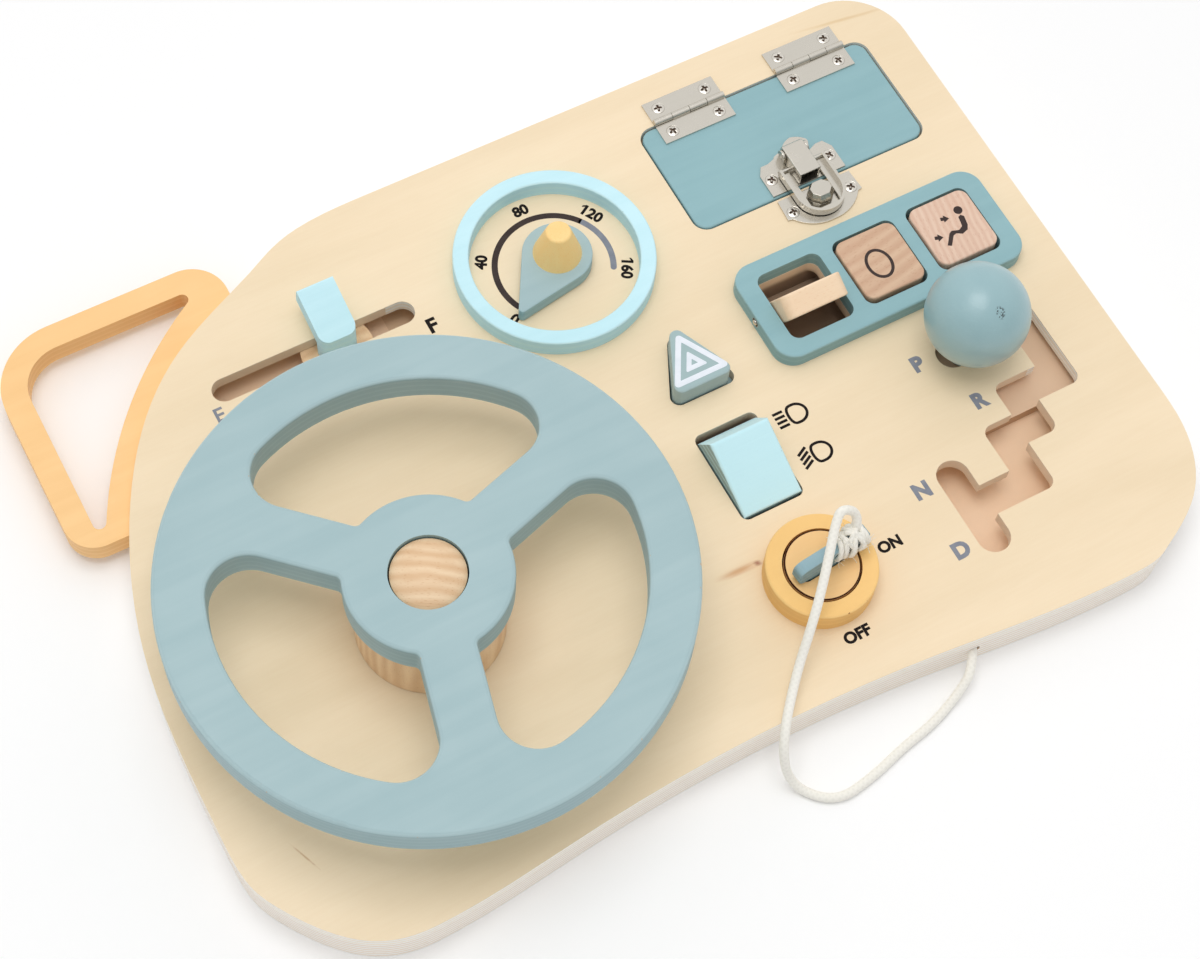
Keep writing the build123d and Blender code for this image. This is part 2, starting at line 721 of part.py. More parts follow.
with BuildPart() as wheel_nut:
    with BuildSketch(Plane((wheel_x, wheel_y, nut_floor + running_gap + washer_thickness))):
        RegularPolygon(nut_radius, 6)
        Circle(bolt_radius + glue_gap, mode=Mode.SUBTRACT)
    extrude(amount=nut_height)
save(wheel_nut, "wheel_nut")

# ================================================================ fuel lever
fuel_slope = asin((fuel_tip_height - fuel_front_height) / (fuel_front + fuel_reach))
with BuildPart() as fuel_lever:
    with BuildSketch(Plane((fuel_x - fuel_width / 2, fuel_y, face), x_dir=(0, 1, 0), z_dir=(1, 0, 0))):
        with BuildLine():
            under_tip = fuel_tip_height - fuel_bar / cos(fuel_slope)
            under_stem = fuel_front_height + 2 * fuel_front * tan(fuel_slope) - fuel_bar / cos(fuel_slope)
            Polyline((-fuel_front, -(face - slider_high)), (fuel_front, -(face - slider_high)),
                     (fuel_front, under_stem), (fuel_reach, under_tip),
                     (fuel_reach - fuel_nose, fuel_tip_height), (-fuel_front, fuel_front_height), close=True)
        make_face()
    extrude(amount=fuel_width)
    fillet(fuel_lever.edges().filter_by(Axis.Z), fuel_stem_corner)
    fillet(fuel_lever.edges().group_by(Axis.Z)[-1], fuel_edge)
    with Locations((fuel_x, fuel_y, slider_high)):
        Cylinder(screw_shank + glue_gap, 2 * screw_length, mode=Mode.SUBTRACT)
save(fuel_lever, "fuel_lever")

fuel_carriage_plane = Plane((fuel_x, fuel_y, slider_low))
with BuildPart() as fuel_carriage:
    with BuildSketch(fuel_carriage_plane):
        Circle(fuel_carriage_radius)
        Circle(screw_shank + glue_gap, mode=Mode.SUBTRACT)
    extrude(amount=slider_high - slider_low)
    with BuildSketch(fuel_carriage_plane):
        Circle(panel_screw_head + glue_gap)
    extrude(amount=panel_screw_head_height, mode=Mode.SUBTRACT)
save(fuel_carriage, "fuel_carriage")

fuel_screw_plane = Plane((fuel_x, fuel_y, slider_low))
with BuildPart() as fuel_screw:
    with BuildSketch(fuel_screw_plane):
        Circle(panel_screw_head)
    extrude(amount=panel_screw_head_height)
    with BuildSketch(fuel_screw_plane):
        Circle(screw_shank)
    extrude(amount=slider_high - slider_low + screw_length)
save(fuel_screw, "fuel_screw")

# ================================================================ speed gauge
with BuildPart() as gauge_ring:
    with BuildSketch(Plane((gauge_x, gauge_y, face))):
        Circle(gauge_outer)
        Circle(gauge_inner, mode=Mode.SUBTRACT)
    extrude(amount=gauge_height)
    fillet(gauge_ring.faces().sort_by(Axis.Z)[-1].edges(), gauge_edge)
save(gauge_ring, "gauge_ring")

pointer_low = face + pointer_lift
pointer_high = pointer_low + pointer_thickness
pointer_along = (cos(radians(pointer_angle)), sin(radians(pointer_angle)), 0)
with BuildPart() as gauge_pointer:
    with BuildSketch(Plane(origin=(*pointer_centre, pointer_low), x_dir=pointer_along, z_dir=(0, 0, 1))):
        Circle(pointer_round)
        with Locations((pointer_reach - pointer_tip, 0)):
            Circle(pointer_tip)
        make_hull()
        Circle(gauge_bolt_radius + glue_gap, mode=Mode.SUBTRACT)
    extrude(amount=pointer_thickness)
    fillet(gauge_pointer.faces().sort_by(Axis.Z)[-1].outer_wire().edges(), pointer_edge)
save(gauge_pointer, "gauge_pointer")

with BuildPart(Plane((*pointer_centre, pointer_high))) as pointer_knob:
    Cone(knob_base, knob_top, knob_height, align=ON_FLOOR)
    fillet(pointer_knob.faces().sort_by(Axis.Z)[-1].edges(), knob_edge)
    bore(gauge_bolt_radius + glue_gap, gauge_bolt_depth)
save(pointer_knob, "pointer_knob")

with BuildPart(Plane((*pointer_centre, back_recess - loose_gap))) as pointer_bolt:
    Cylinder(gauge_bolt_radius, pointer_high + gauge_bolt_depth - back_recess, align=ON_FLOOR)
    Cylinder(gauge_bolt_head, gauge_bolt_head_height, align=UNDER)
save(pointer_bolt, "pointer_bolt")

# ================================================================ hazard button
hazard_centre_y = hazard_base_y + hazard_peak / 3
flange_high = core_top - running_gap
flange_low = flange_high - hazard_flange
hazard_button_plane = Plane((hazard_x, hazard_base_y, flange_low))
with BuildPart() as hazard_button:
    with BuildSketch(hazard_button_plane):
        add(triangle_outline(hazard_flange_lip))
    extrude(amount=hazard_flange)
    with BuildSketch(hazard_button_plane):
        with Locations((hazard_button_shift, 0)):
            add(triangle_outline(-panel_gap, hazard_button_base))
    extrude(amount=face + hazard_proud - flange_low)
    fillet(hazard_button.faces().sort_by(Axis.Z)[-1].edges(), hazard_edge)
save(hazard_button, "hazard_button")

with BuildPart(Plane((hazard_x, hazard_centre_y, back_thickness))) as button_pad:
    Cylinder(pad_radius, flange_low - back_thickness, align=ON_FLOOR)
save(button_pad, "button_pad")

# ================================================================ light rocker
with BuildPart() as light_rocker:
    with BuildSketch(Plane(origin=(rocker_x, rocker_y, rocker_axle_z),
                           x_dir=(0, cos(radians(rocker_tilt)), sin(radians(rocker_tilt))), z_dir=(1, 0, 0))):
        with BuildLine():
            Polyline((rocker_half_top, rocker_rise), (rocker_half_waist, -rocker_waist_drop),
                     (rocker_half_keel, -rocker_keel), (-rocker_half_keel, -rocker_keel),
                     (-rocker_half_waist, -rocker_waist_drop), (-rocker_half_top, rocker_rise), close=True)
        make_face()
    extrude(amount=(rocker_slot_width - 2 * panel_gap) / 2, both=True)
    top_face = light_rocker.faces().sort_by(Axis.Z)[-1]
    fillet(top_face.edges(), rocker_edge)
    with Locations((rocker_x, rocker_y, rocker_axle_z)):
        Cylinder(rocker_pin_radius + running_gap, rocker_slot_width, rotation=(0, 90, 0), mode=Mode.SUBTRACT)
save(light_rocker, "light_rocker")

with BuildPart(Plane((rocker_x, rocker_y, rocker_axle_z))) as rocker_pin:
    Cylinder(rocker_pin_radius, rocker_pin_bore - 2 * loose_gap, rotation=(0, 90, 0))
save(rocker_pin, "rocker_pin")

# ================================================================ ignition lock and key
barrel_top = face + lock_ring_height
with BuildPart() as ignition_ring:
    with BuildSketch(Plane((lock_x, lock_y, face))):
        Circle(lock_ring_radius)
        Circle(barrel_radius + 2 * loose_gap, mode=Mode.SUBTRACT)
    extrude(amount=lock_ring_height)
    fillet(ignition_ring.faces().sort_by(Axis.Z)[-1].edges().sort_by(SortBy.LENGTH)[-1], lock_edge)
save(ignition_ring, "ignition_ring")

key_plane = Plane(origin=(lock_x, lock_y, barrel_top - keyway_depth),
                  x_dir=(cos(radians(key_angle)), sin(radians(key_angle)), 0), z_dir=(0, 0, 1))
barrel_low = core_top - running_gap
with BuildPart(Plane((lock_x, lock_y, barrel_low))) as ignition_barrel:
    Cylinder(barrel_neck, barrel_top - barrel_low, align=ON_FLOOR)
    with Locations((0, 0, face + loose_gap - barrel_low)):
        Cylinder(barrel_radius, lock_ring_height - loose_gap, align=ON_FLOOR)
    bore(screw_shank + glue_gap, barrel_screw_length)
    with BuildSketch(key_plane):
        SlotOverall(key_blade + 2 * keyway_gap, key_thickness + 2 * keyway_gap)
    extrude(amount=keyway_depth, mode=Mode.SUBTRACT)
save(ignition_barrel, "ignition_barrel")

with BuildPart() as barrel_washer:
    with BuildSketch(Plane((lock_x, lock_y, barrel_low))):
        Circle(barrel_washer_radius)
        Circle(screw_shank + glue_gap, mode=Mode.SUBTRACT)
    extrude(amount=-barrel_washer_thickness)
save(barrel_washer, "barrel_washer")

with BuildPart(Plane((lock_x, lock_y, barrel_low - barrel_washer_thickness))) as barrel_screw:
    Cylinder(panel_screw_head, panel_screw_head_height, align=UNDER)
    Cylinder(screw_shank, barrel_washer_thickness + barrel_screw_length - glue_gap, align=ON_FLOOR)
save(barrel_screw, "barrel_screw")

key_side = Plane(origin=(lock_x, lock_y, barrel_top),
                 x_dir=(cos(radians(key_angle)), sin(radians(key_angle)), 0),
                 z_dir=(sin(radians(key_angle)), -cos(radians(key_angle)), 0))
with BuildPart() as ignition_key:
    with BuildSketch(key_side):
        with Locations((0, -keyway_depth / 2 + keyway_gap / 2)):
            Rectangle(key_blade - key_thickness, keyway_depth - keyway_gap)
        with Locations(((key_right - key_left) / 2, key_height / 2 + loose_gap)):
            RectangleRounded(key_left + key_right, key_height, key_corner)
        with Locations((0, key_corner)):
            Rectangle(key_blade - key_thickness, 2 * key_corner)
        with Locations((key_right - key_hole_inset, key_height / 2 + loose_gap)):
            Circle(key_hole_radius, mode=Mode.SUBTRACT)
    extrude(amount=key_thickness / 2, both=True)
    key_sides = ignition_key.faces().filter_by(Axis(key_side.origin, key_side.z_dir)).sort_by(Axis.Y)
    fillet(key_sides[0].outer_wire().edges(), key_edge)
save(ignition_key, "ignition_key")

# ================================================================ cord with its knots
with BuildPart() as key_knot:
    with BuildLine() as knot_line:
        FilletPolyline(*knot_loop, radius=cord_radii(knot_loop))
    with BuildSketch(Plane(origin=knot_line.line @ 0, z_dir=knot_line.line % 0)):
        Circle(cord_diameter / 2)
    sweep(path=knot_line.line)
    with BuildPart(key_side.offset(-knot_width / 2), mode=Mode.PRIVATE) as knot_lump:
        with Locations((knot_offset, knot_rise, 0)):
            Box(knot_length, knot_height, knot_width, align=ON_FLOOR)
        fillet(knot_lump.edges(), knot_corner)
    add(knot_lump.part)
    add(ignition_key.part, mode=Mode.SUBTRACT)
save(key_knot, "key_knot")

with BuildPart() as pull_cord:
    with BuildLine() as cord_line:
        FilletPolyline(*cord_route, radius=cord_radii(cord_route))
    with BuildSketch(Plane(origin=cord_line.line @ 0, z_dir=cord_line.line % 0)):
        Circle(cord_diameter / 2)
    sweep(path=cord_line.line)
save(pull_cord, "pull_cord")
print("cord radii", [round(radius, 1) for radius in cord_radii(cord_route)])
cord_length = cord_line.wire().length
print("cord length", round(cord_length, 1))
print("travels: button", hazard_travel, "key", key_withdrawal)
print("knob travels", round(gate_park[0] - shift_rest_x, 1), round(gate_column_x - shift_rest_x, 1))
cord_section = pi * cord_diameter ** 2 / 4
print("cord volume / (section x length)", round(pull_cord.part.volume / (cord_section * cord_length), 4))

with BuildPart() as stop_knot:
    with Locations(stop_knot_centre):
        Sphere(stop_knot_radius)
save(stop_knot, "stop_knot")

# ================================================================ glove-box door, hinges
door_low = core_top
with BuildPart() as glovebox_door:
    add(rounded_box(door_opening_width - 2 * door_gap, door_opening_length - 2 * door_gap,
                    door_corner - door_gap, door_low, face, *door_centre, edge=door_edge))
    for cutter in countersinks(hinge_door_screws, leaf_high) + countersinks(latch_screws, latch_high):
        add(cutter, mode=Mode.SUBTRACT)
save(glovebox_door, "glovebox_door")

knuckle_length = hinge_length / hinge_knuckles


def hinge_leaf_part(x, side, first):
    """One leaf of a butt hinge with every second knuckle; side is 1 for the board, -1 for the door."""
    screws = hinge_board_screws if side > 0 else hinge_door_screws
    with BuildPart(mode=Mode.PRIVATE) as leaf:
        with BuildSketch(Plane.XY.offset(leaf_low)):
            with Locations((x, hinge_axis_y + side * (hinge_leaf_width + knuckle_radius) / 2)):
                Rectangle(hinge_length, hinge_leaf_width - knuckle_radius)
            for number in range(first, hinge_knuckles, 2):
                with Locations((x - hinge_length / 2 + (number + 0.5) * knuckle_length,
                                hinge_axis_y + side * knuckle_radius / 2)):
                    Rectangle(knuckle_length - knuckle_gap, knuckle_radius)
        extrude(amount=hinge_leaf)
        for number in range(first, hinge_knuckles, 2):
            knuckle_x = x - hinge_length / 2 + (number + 0.5) * knuckle_length
            with Locations((knuckle_x, hinge_axis_y, hinge_axis_z)):
                Cylinder(knuckle_radius, knuckle_length - knuckle_gap, rotation=(0, 90, 0))
        with Locations((x, hinge_axis_y, hinge_axis_z)):
            Cylinder(hinge_pin_radius + glue_gap, hinge_length, rotation=(0, 90, 0), mode=Mode.SUBTRACT)
        near = [place for place in screws if abs(place[0] - x) < hinge_length / 2]
        for cutter in countersinks(near, leaf_high):
            add(cutter, mode=Mode.SUBTRACT)
    return leaf.part


with BuildPart() as hinge_board_leaves:
    for hinge_x in hinge_places:
        add(hinge_leaf_part(hinge_x, 1, 0))
save(hinge_board_leaves, "hinge_board_leaves")

with BuildPart() as hinge_door_leaves:
    for hinge_x in hinge_places:
        add(hinge_leaf_part(hinge_x, -1, 1))
save(hinge_door_leaves, "hinge_door_leaves")

with BuildPart() as hinge_pins:
    with Locations([(hinge_x, hinge_axis_y, hinge_axis_z) for hinge_x in hinge_places]):
        Cylinder(hinge_pin_radius, hinge_length, rotation=(0, 90, 0))
save(hinge_pins, "hinge_pins")

with BuildPart() as board_hinge_screws:
    for x, y in hinge_board_screws:
        add(wood_screw(x, y, leaf_high))
save(board_hinge_screws, "board_hinge_screws")

with BuildPart() as door_hinge_screws:
    for x, y in hinge_door_screws:
        add(wood_screw(x, y, leaf_high))
save(door_hinge_screws, "door_hinge_screws")

# ================================================================ latch
with BuildPart() as latch_base:
    with BuildSketch(Plane((latch_x, 0, face))):
        with BuildLine():
            Polyline((0, latch_foot_y), (latch_half_width, latch_foot_y),
                     (latch_half_width, latch_shoulder_y), (latch_lobe_outer, latch_lobe_y),
                     (latch_lobe_inner, latch_lobe_y), latch_dome_foot)
            ThreePointArc(latch_dome_foot, latch_dome_side, (0, latch_dome_top))
            Line((0, latch_dome_top), (0, latch_foot_y))
        make_face()
        mirror(about=Plane.YZ)
    extrude(amount=latch_plate)
    with BuildSketch(Plane((latch_x, lever_pivot_y, face), x_dir=(0, 1, 0), z_dir=(1, 0, 0))):
        Rectangle(2 * ear_half_length, lever_pivot_z - face, align=(Align.CENTER, Align.MIN))
        with Locations((0, lever_pivot_z - face)):
            Circle(ear_half_length)
    ear_inner = lever_half_width + running_gap * 2
    extrude(amount=ear_inner + ear_thickness, both=True)
    with Locations((latch_x, lever_pivot_y, latch_high)):
        Box(2 * ear_inner, 4 * ear_half_length, 4 * lever_round, align=ON_FLOOR, mode=Mode.SUBTRACT)
    with Locations((latch_x, lever_pivot_y, lever_pivot_z)):
        Cylinder(latch_pin_radius + glue_gap, 4 * lever_half_width, rotation=(0, 90, 0), mode=Mode.SUBTRACT)
    for cutter in countersinks(latch_screws, latch_high):
        add(cutter, mode=Mode.SUBTRACT)
save(latch_base, "latch_base")

with BuildPart() as latch_screw_set:
    for x, y in latch_screws:
        add(wood_screw(x, y, latch_high))
save(latch_screw_set, "latch_screws")

with BuildPart(Plane((latch_x, lever_pivot_y, lever_pivot_z))) as latch_pin:
    Cylinder(latch_pin_radius, 2 * (ear_inner + ear_thickness), rotation=(0, 90, 0))
save(latch_pin, "latch_pin")

lever_length = lever_pivot_y - lever_front_y
lever_bore = latch_pin_radius + running_gap
with BuildPart() as latch_lever:
    with BuildSketch(Plane((latch_x, lever_pivot_y, lever_pivot_z), x_dir=(0, 1, 0), z_dir=(1, 0, 0))):
        Circle(lever_round)
        with Locations((-lever_length / 2, (lever_round - lever_skirt) / 2)):
            Rectangle(lever_length, lever_round + lever_skirt)
    extrude(amount=lever_half_width, both=True)
    with BuildSketch(Plane((latch_x, lever_pivot_y, lever_pivot_z - 2 * lever_round))):
        Rectangle(2 * (lever_half_width - lever_wall), 4 * lever_length)
    extrude(amount=3 * lever_round - lever_wall, mode=Mode.SUBTRACT)
    with Locations((latch_x, lever_pivot_y, lever_pivot_z)):
        Cylinder(lever_bore, 4 * lever_half_width, rotation=(0, 90, 0), mode=Mode.SUBTRACT)
    with Locations((latch_x, loop_pivot_y, loop_pivot_z)):
        Cylinder(lever_bore, 4 * lever_half_width, rotation=(0, 90, 0), mode=Mode.SUBTRACT)
save(latch_lever, "latch_lever")


def loop_outline(half_width, reach_y):
    """The latch loop in plan: two straight arms joined by a half round at the front."""
    with BuildSketch(mode=Mode.PRIVATE) as outline:
        with Locations((0, loop_centre_y)):
            Circle(half_width)
        with Locations((0, (loop_centre_y + reach_y) / 2)):
            Rectangle(2 * half_width, reach_y - loop_centre_y)
    return outline.sketch


loop_cut_y = loop_pivot_y + loop_cutback
with BuildPart() as latch_loop:
    with BuildSketch(Plane((latch_x, 0, loop_floor))):
        add(loop_outline(loop_half_width, loop_pivot_y))
    extrude(amount=loop_rim)
    with BuildSketch(Plane((latch_x, 0, loop_floor + loop_web))):
        add(loop_outline(loop_half_width - loop_wall, loop_cut_y))
    extrude(amount=loop_rim, mode=Mode.SUBTRACT)
    with BuildSketch(Plane((latch_x, 0, loop_floor))):
        with Locations((0, loop_window_front_y)):
            Rectangle(2 * loop_window, loop_cut_y - loop_window_front_y, align=(Align.CENTER, Align.MIN))
    extrude(amount=loop_web, mode=Mode.SUBTRACT)
    with Locations([(latch_x + side * (loop_half_width + lever_half_width - lever_wall) / 2, loop_pivot_y,
                     loop_pivot_z) for side in (-1, 1)]):
        Cylinder(latch_pin_radius, loop_half_width - lever_half_width + lever_wall, rotation=(0, 90, 0))
save(latch_loop, "latch_loop")

with BuildPart() as catch_plate:
    with BuildSketch(Plane((latch_x, 0, face))):
        with BuildLine():
            Polyline((0, catch_top_y), (catch_top_half_width, catch_top_y), (catch_half_width, catch_tip_y),
                     catch_heel)
            ThreePointArc(catch_heel, catch_belly, (0, catch_bottom_y))
            Line((0, catch_bottom_y), (0, catch_top_y))
        make_face()
        mirror(about=Plane.YZ)
    extrude(amount=latch_plate)
    for cutter in countersinks(catch_screws, latch_high):
        add(cutter, mode=Mode.SUBTRACT)
    with BuildSketch(Plane((latch_x, catch_y, latch_high))) as catch_foot:
        RectangleRounded(catch_base_width, catch_base_length, catch_corner)
    with BuildSketch(Plane((latch_x, catch_y + catch_crown_shift, latch_high + catch_height))) as catch_crown:
        RectangleRounded(catch_crown_width, catch_crown_length, catch_corner)
    loft(sections=[catch_foot.sketch, catch_crown.sketch])
save(catch_plate, "catch_plate")

with BuildPart() as catch_screw_set:
    for x, y in catch_screws:
        add(wood_screw(x, y, latch_high))
save(catch_screw_set, "catch_screws")

# ================================================================ tumbling tiles
with BuildPart() as tile_frame:
    add(rounded_box(frame_right - frame_left, frame_top - frame_bottom, frame_corner, face,
                    face + frame_height, *frame_centre, edge=frame_edge))
    with BuildSketch(Plane.XY.offset(face)):
        with Locations(tile_places):
            RectangleRounded(window_width, window_length, window_corner)
    extrude(amount=frame_height, mode=Mode.SUBTRACT)
    with Locations((*frame_centre, tile_rod_z)):
        Cylinder(tile_rod_radius + glue_gap, frame_right - frame_left, rotation=(0, 90, 0),
                 mode=Mode.SUBTRACT)
save(tile_frame, "tile_frame")

with BuildPart(Plane((*frame_centre, tile_rod_z))) as tile_rod:
    Cylinder(tile_rod_radius, frame_right - frame_left, rotation=(0, 90, 0))
save(tile_rod, "tile_rod")

for number, (tile_x, tile_y) in enumerate(tile_places, start=1):
    turn = radians(first_tile_angle if number == 1 else 0)
    tile_plane = Plane(origin=(tile_x, tile_y, tile_rod_z), x_dir=(1, 0, 0), z_dir=(0, -sin(turn), cos(turn)))
    with BuildPart() as tile:
        with BuildSketch(tile_plane):
            RectangleRounded(tile_width, tile_length, tile_corner)
        extrude(amount=tile_thickness / 2, both=True)
        fillet(tile.faces().filter_by(Axis(tile_plane.origin, tile_plane.z_dir)).edges(), tile_edge)
        with Locations((tile_x, tile_y, tile_rod_z)):
            Cylinder(tile_rod_radius + running_gap, tile_width, rotation=(0, 90, 0), mode=Mode.SUBTRACT)
    save(tile, f"tile_{number}")

# ================================================================ gear shift
with BuildPart() as gate_floor:
    with BuildSketch(Plane.XY.offset(core_floor)):
        add(gate_pocket)
        offset(amount=-glue_gap)
        with Locations((gate_park[0], gate_shelf_y)):
            Rectangle(board_right, board_right, align=(Align.CENTER, Align.MAX), mode=Mode.SUBTRACT)
    extrude(amount=gate_shelf)
save(gate_floor, "gate_floor")

ball_z = face + ball_height
stem_top = ball_z - ball_radius + stem_socket
with BuildPart(Plane((*shift_rest, ball_z))) as shift_ball:
    Sphere(ball_radius)
    with Locations((0, 0, stem_top - ball_z)):
        Cylinder(stem_radius + glue_gap, ball_radius, align=UNDER, mode=Mode.SUBTRACT)
save(shift_ball, "shift_ball")

with BuildPart(Plane((*shift_rest, shift_flange_high))) as shift_stem:
    Cylinder(stem_radius, stem_top - shift_flange_high, align=ON_FLOOR)
    bore(panel_screw_shank + glue_gap, shift_screw_length)
save(shift_stem, "shift_stem")

with BuildPart() as shift_flange:
    with BuildSketch(Plane((*shift_rest, shift_flange_low))):
        Circle(shift_flange_radius)
        Circle(panel_screw_shank + glue_gap, mode=Mode.SUBTRACT)
    extrude(amount=shift_flange_thickness)
    with Locations((*shift_rest, shift_flange_low)):
        bore(panel_screw_head + glue_gap, panel_screw_head_height)
save(shift_flange, "shift_flange")

with BuildPart(Plane((*shift_rest, shift_flange_low))) as shift_screw:
    Cylinder(panel_screw_shank, shift_flange_thickness + shift_screw_length - glue_gap,
             align=ON_FLOOR)
    Cylinder(panel_screw_head, panel_screw_head_height, align=ON_FLOOR)
save(shift_screw, "shift_screw")
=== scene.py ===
# %% [markdown]
# # Wooden busy board: dressing the solids
# The board is a toy dashboard made like a flat-pack shelf: three layers of birch plywood, one on the other, with a
# wheel, a lever, a dial, a lock and a gear knob held between them. The solids come ready made and stay as they are.
# What they lack is what a hand and an eye would find next: grain, stain, printing, screws with a driver's cross in
# them, a braided cord, and light. The lesson adds those one by one.

# %% Load the finished solids
import bmesh
import bpy
from math import atan2, cos, pi, radians, sin, tau
from mathutils import Matrix, Vector


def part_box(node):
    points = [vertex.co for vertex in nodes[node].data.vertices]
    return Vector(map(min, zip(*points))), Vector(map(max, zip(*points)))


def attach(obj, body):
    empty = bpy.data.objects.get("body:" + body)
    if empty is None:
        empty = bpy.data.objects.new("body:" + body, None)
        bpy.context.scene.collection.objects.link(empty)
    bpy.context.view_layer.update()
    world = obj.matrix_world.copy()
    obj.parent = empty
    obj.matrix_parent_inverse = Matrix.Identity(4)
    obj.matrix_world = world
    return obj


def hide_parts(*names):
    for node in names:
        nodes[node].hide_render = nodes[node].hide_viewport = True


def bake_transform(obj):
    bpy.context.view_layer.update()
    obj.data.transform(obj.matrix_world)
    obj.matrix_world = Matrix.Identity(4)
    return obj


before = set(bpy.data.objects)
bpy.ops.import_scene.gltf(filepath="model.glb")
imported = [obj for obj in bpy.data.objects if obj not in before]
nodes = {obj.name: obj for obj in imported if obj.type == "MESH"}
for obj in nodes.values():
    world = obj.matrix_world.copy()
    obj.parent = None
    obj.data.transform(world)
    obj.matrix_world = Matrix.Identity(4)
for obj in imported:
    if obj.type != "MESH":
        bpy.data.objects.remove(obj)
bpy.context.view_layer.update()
MM = 0.001

# %% [markdown]
# ## Places that the printing and the trim are measured from
# Every solid knows where it is, so the face of the board, the middle of the dial and the top of a tile are read from
# the solids. If the maker moves the dial, its numbers move with it.


# %% Read the places from the solids
def middle(node):
    """The middle of a solid's box."""
    low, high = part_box(node)
    return (low + high) / 2


def top_of(node):
    """The height of a solid's highest point."""
    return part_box(node)[1].z


def put_in_scene(name, data):
    """An object for some data, linked to the scene."""
    thing = bpy.data.objects.new(name, data)
    bpy.context.scene.collection.objects.link(thing)
    return thing


face = top_of("top_panel")
dial = middle("gauge_ring")
lock = middle("ignition_ring")
print("face at", round(face / MM, 2), "mm; dial at", [round(v / MM, 1) for v in dial])

# %% [markdown]
# ## The camera
# A long lens a little to the left and in front of the board, looking down. A long lens keeps the far corner nearly as
# large as the near one, which is how catalogue pictures are taken.

# %% Camera
camera_data = bpy.data.cameras.new("catalogue_camera")
camera_data.lens = 70.89
camera_data.sensor_width = 36.0
camera = put_in_scene("catalogue_camera", camera_data)
camera.location = (-0.23158, -0.34117, 0.800)
camera.rotation_euler = (radians(26.51), radians(-2.66), radians(-28.48))
bpy.context.scene.camera = camera
print("camera", round(camera_data.lens, 1), "mm lens")

# %% [markdown]
# ## Node trees in one line each
# Shader and geometry trees are both nodes with settings and inputs. One small class makes a node, sets its numbers
# and joins its cables, so that each finish below reads like a recipe.


# %% Recipe for a node tree
def paint(colour):
    """An everyday 0 to 255 colour as the linear values that shaders use."""
    shares = [value / 255 for value in colour]
    return (*(share / 12.92 if share <= 0.04045 else ((share + 0.055) / 1.055) ** 2.4 for share in shares), 1.0)


class Recipe:
    """A node tree with a short name for each step that the finishes repeat."""

    def __init__(self, tree):
        self.tree = tree

    def join(self, value, socket):
        """Feed a socket from another one, or set it to a plain value."""
        if isinstance(value, bpy.types.NodeSocket):
            self.tree.links.new(value, socket)
        else:
            socket.default_value = value

    def node(self, kind, inputs=None, **settings):
        """The outputs of a new node."""
        made = self.tree.nodes.new(kind)
        for name, value in settings.items():
            setattr(made, name, value)
        for name, value in (inputs or {}).items():
            self.join(value, made.inputs[name])
        return made.outputs

    def sum(self, operation, first, second=0.0):
        """One sum on two numbers or sockets."""
        return self.node("ShaderNodeMath", {0: first, 1: second}, operation=operation)[0]

    def plus(self, first, second):
        return self.sum("ADD", first, second)

    def minus(self, first, second):
        return self.sum("SUBTRACT", first, second)

    def times(self, first, second):
        return self.sum("MULTIPLY", first, second)

    def larger(self, first, second):
        return self.sum("MAXIMUM", first, second)

    def vector(self, operation, first, second=(0.0, 0.0, 0.0)):
        """The outputs of one sum on two vectors."""
        return self.node("ShaderNodeVectorMath", {0: first, 1: second}, operation=operation)

    def split(self, vector):
        """The X, Y and Z of a vector."""
        return self.node("ShaderNodeSeparateXYZ", {0: vector})

    def ramp(self, value, from_low, from_high, to_low=0.0, to_high=1.0):
        """Stretch one range of a value smoothly over another."""
        return self.node("ShaderNodeMapRange", {"Value": value, "From Min": from_low, "From Max": from_high,
                                                "To Min": to_low, "To Max": to_high},
                         interpolation_type="SMOOTHSTEP")[0]

    def mix(self, share, under, over, mode="MIX"):
        """Lay one colour over another; a colour is a socket, three everyday numbers or a list of linear values."""
        under, over = (paint(colour) if isinstance(colour, tuple) else colour for colour in (under, over))
        return self.node("ShaderNodeMix", {0: share, 6: under, 7: over}, data_type="RGBA", blend_type=mode)[2]

    def noise(self, vector, scale, detail, **more):
        """Soft noise from 0 to 1."""
        return self.node("ShaderNodeTexNoise", {"Vector": vector, "Scale": scale, "Detail": detail, **more})[0]

    def use(self, effect, **inputs):
        """The outputs of a shared effect; streak_length sets its input Streak length."""
        named = {label.capitalize().replace("_", " "): value for label, value in inputs.items()}
        return self.node("ShaderNodeGroup", named, node_tree=effect.tree)


print("steps of a recipe:", ", ".join(name for name in vars(Recipe) if not name.startswith("_")))

# %% [markdown]
# ## Shared effects
# What several finishes have in common is built once as a shader group. A group only puts out masks from 0 to 1, and
# the finish that uses it decides what the mask does to colour, gloss and relief.


# %% Recipe for a shared effect
class Effect(Recipe):
    """A shared shader group that puts out masks; inputs maps a name to its usual value, or None for a vector."""

    def __init__(self, name, inputs, outputs):
        super().__init__(bpy.data.node_groups.new(name, "ShaderNodeTree"))
        sockets = self.tree.interface
        for label, usual in inputs.items():
            kind = "NodeSocketVector" if usual is None else "NodeSocketFloat"
            socket = sockets.new_socket(name=label, in_out="INPUT", socket_type=kind)
            if usual is not None:
                socket.default_value = usual
        for label in outputs:
            sockets.new_socket(name=label, in_out="OUTPUT", socket_type="NodeSocketFloat")
        self.given = self.tree.nodes.new("NodeGroupInput").outputs
        self.result = self.tree.nodes.new("NodeGroupOutput").inputs

    def put_out(self, **masks):
        """Join the outputs; glue_line feeds Glue line."""
        for label, mask in masks.items():
            self.join(mask, self.result[label.capitalize().replace("_", " ")])
        print("effect", self.tree.name, "with", len(self.tree.nodes), "nodes")


print("an effect adds:", ", ".join(name for name in vars(Effect) if not name.startswith("_")))

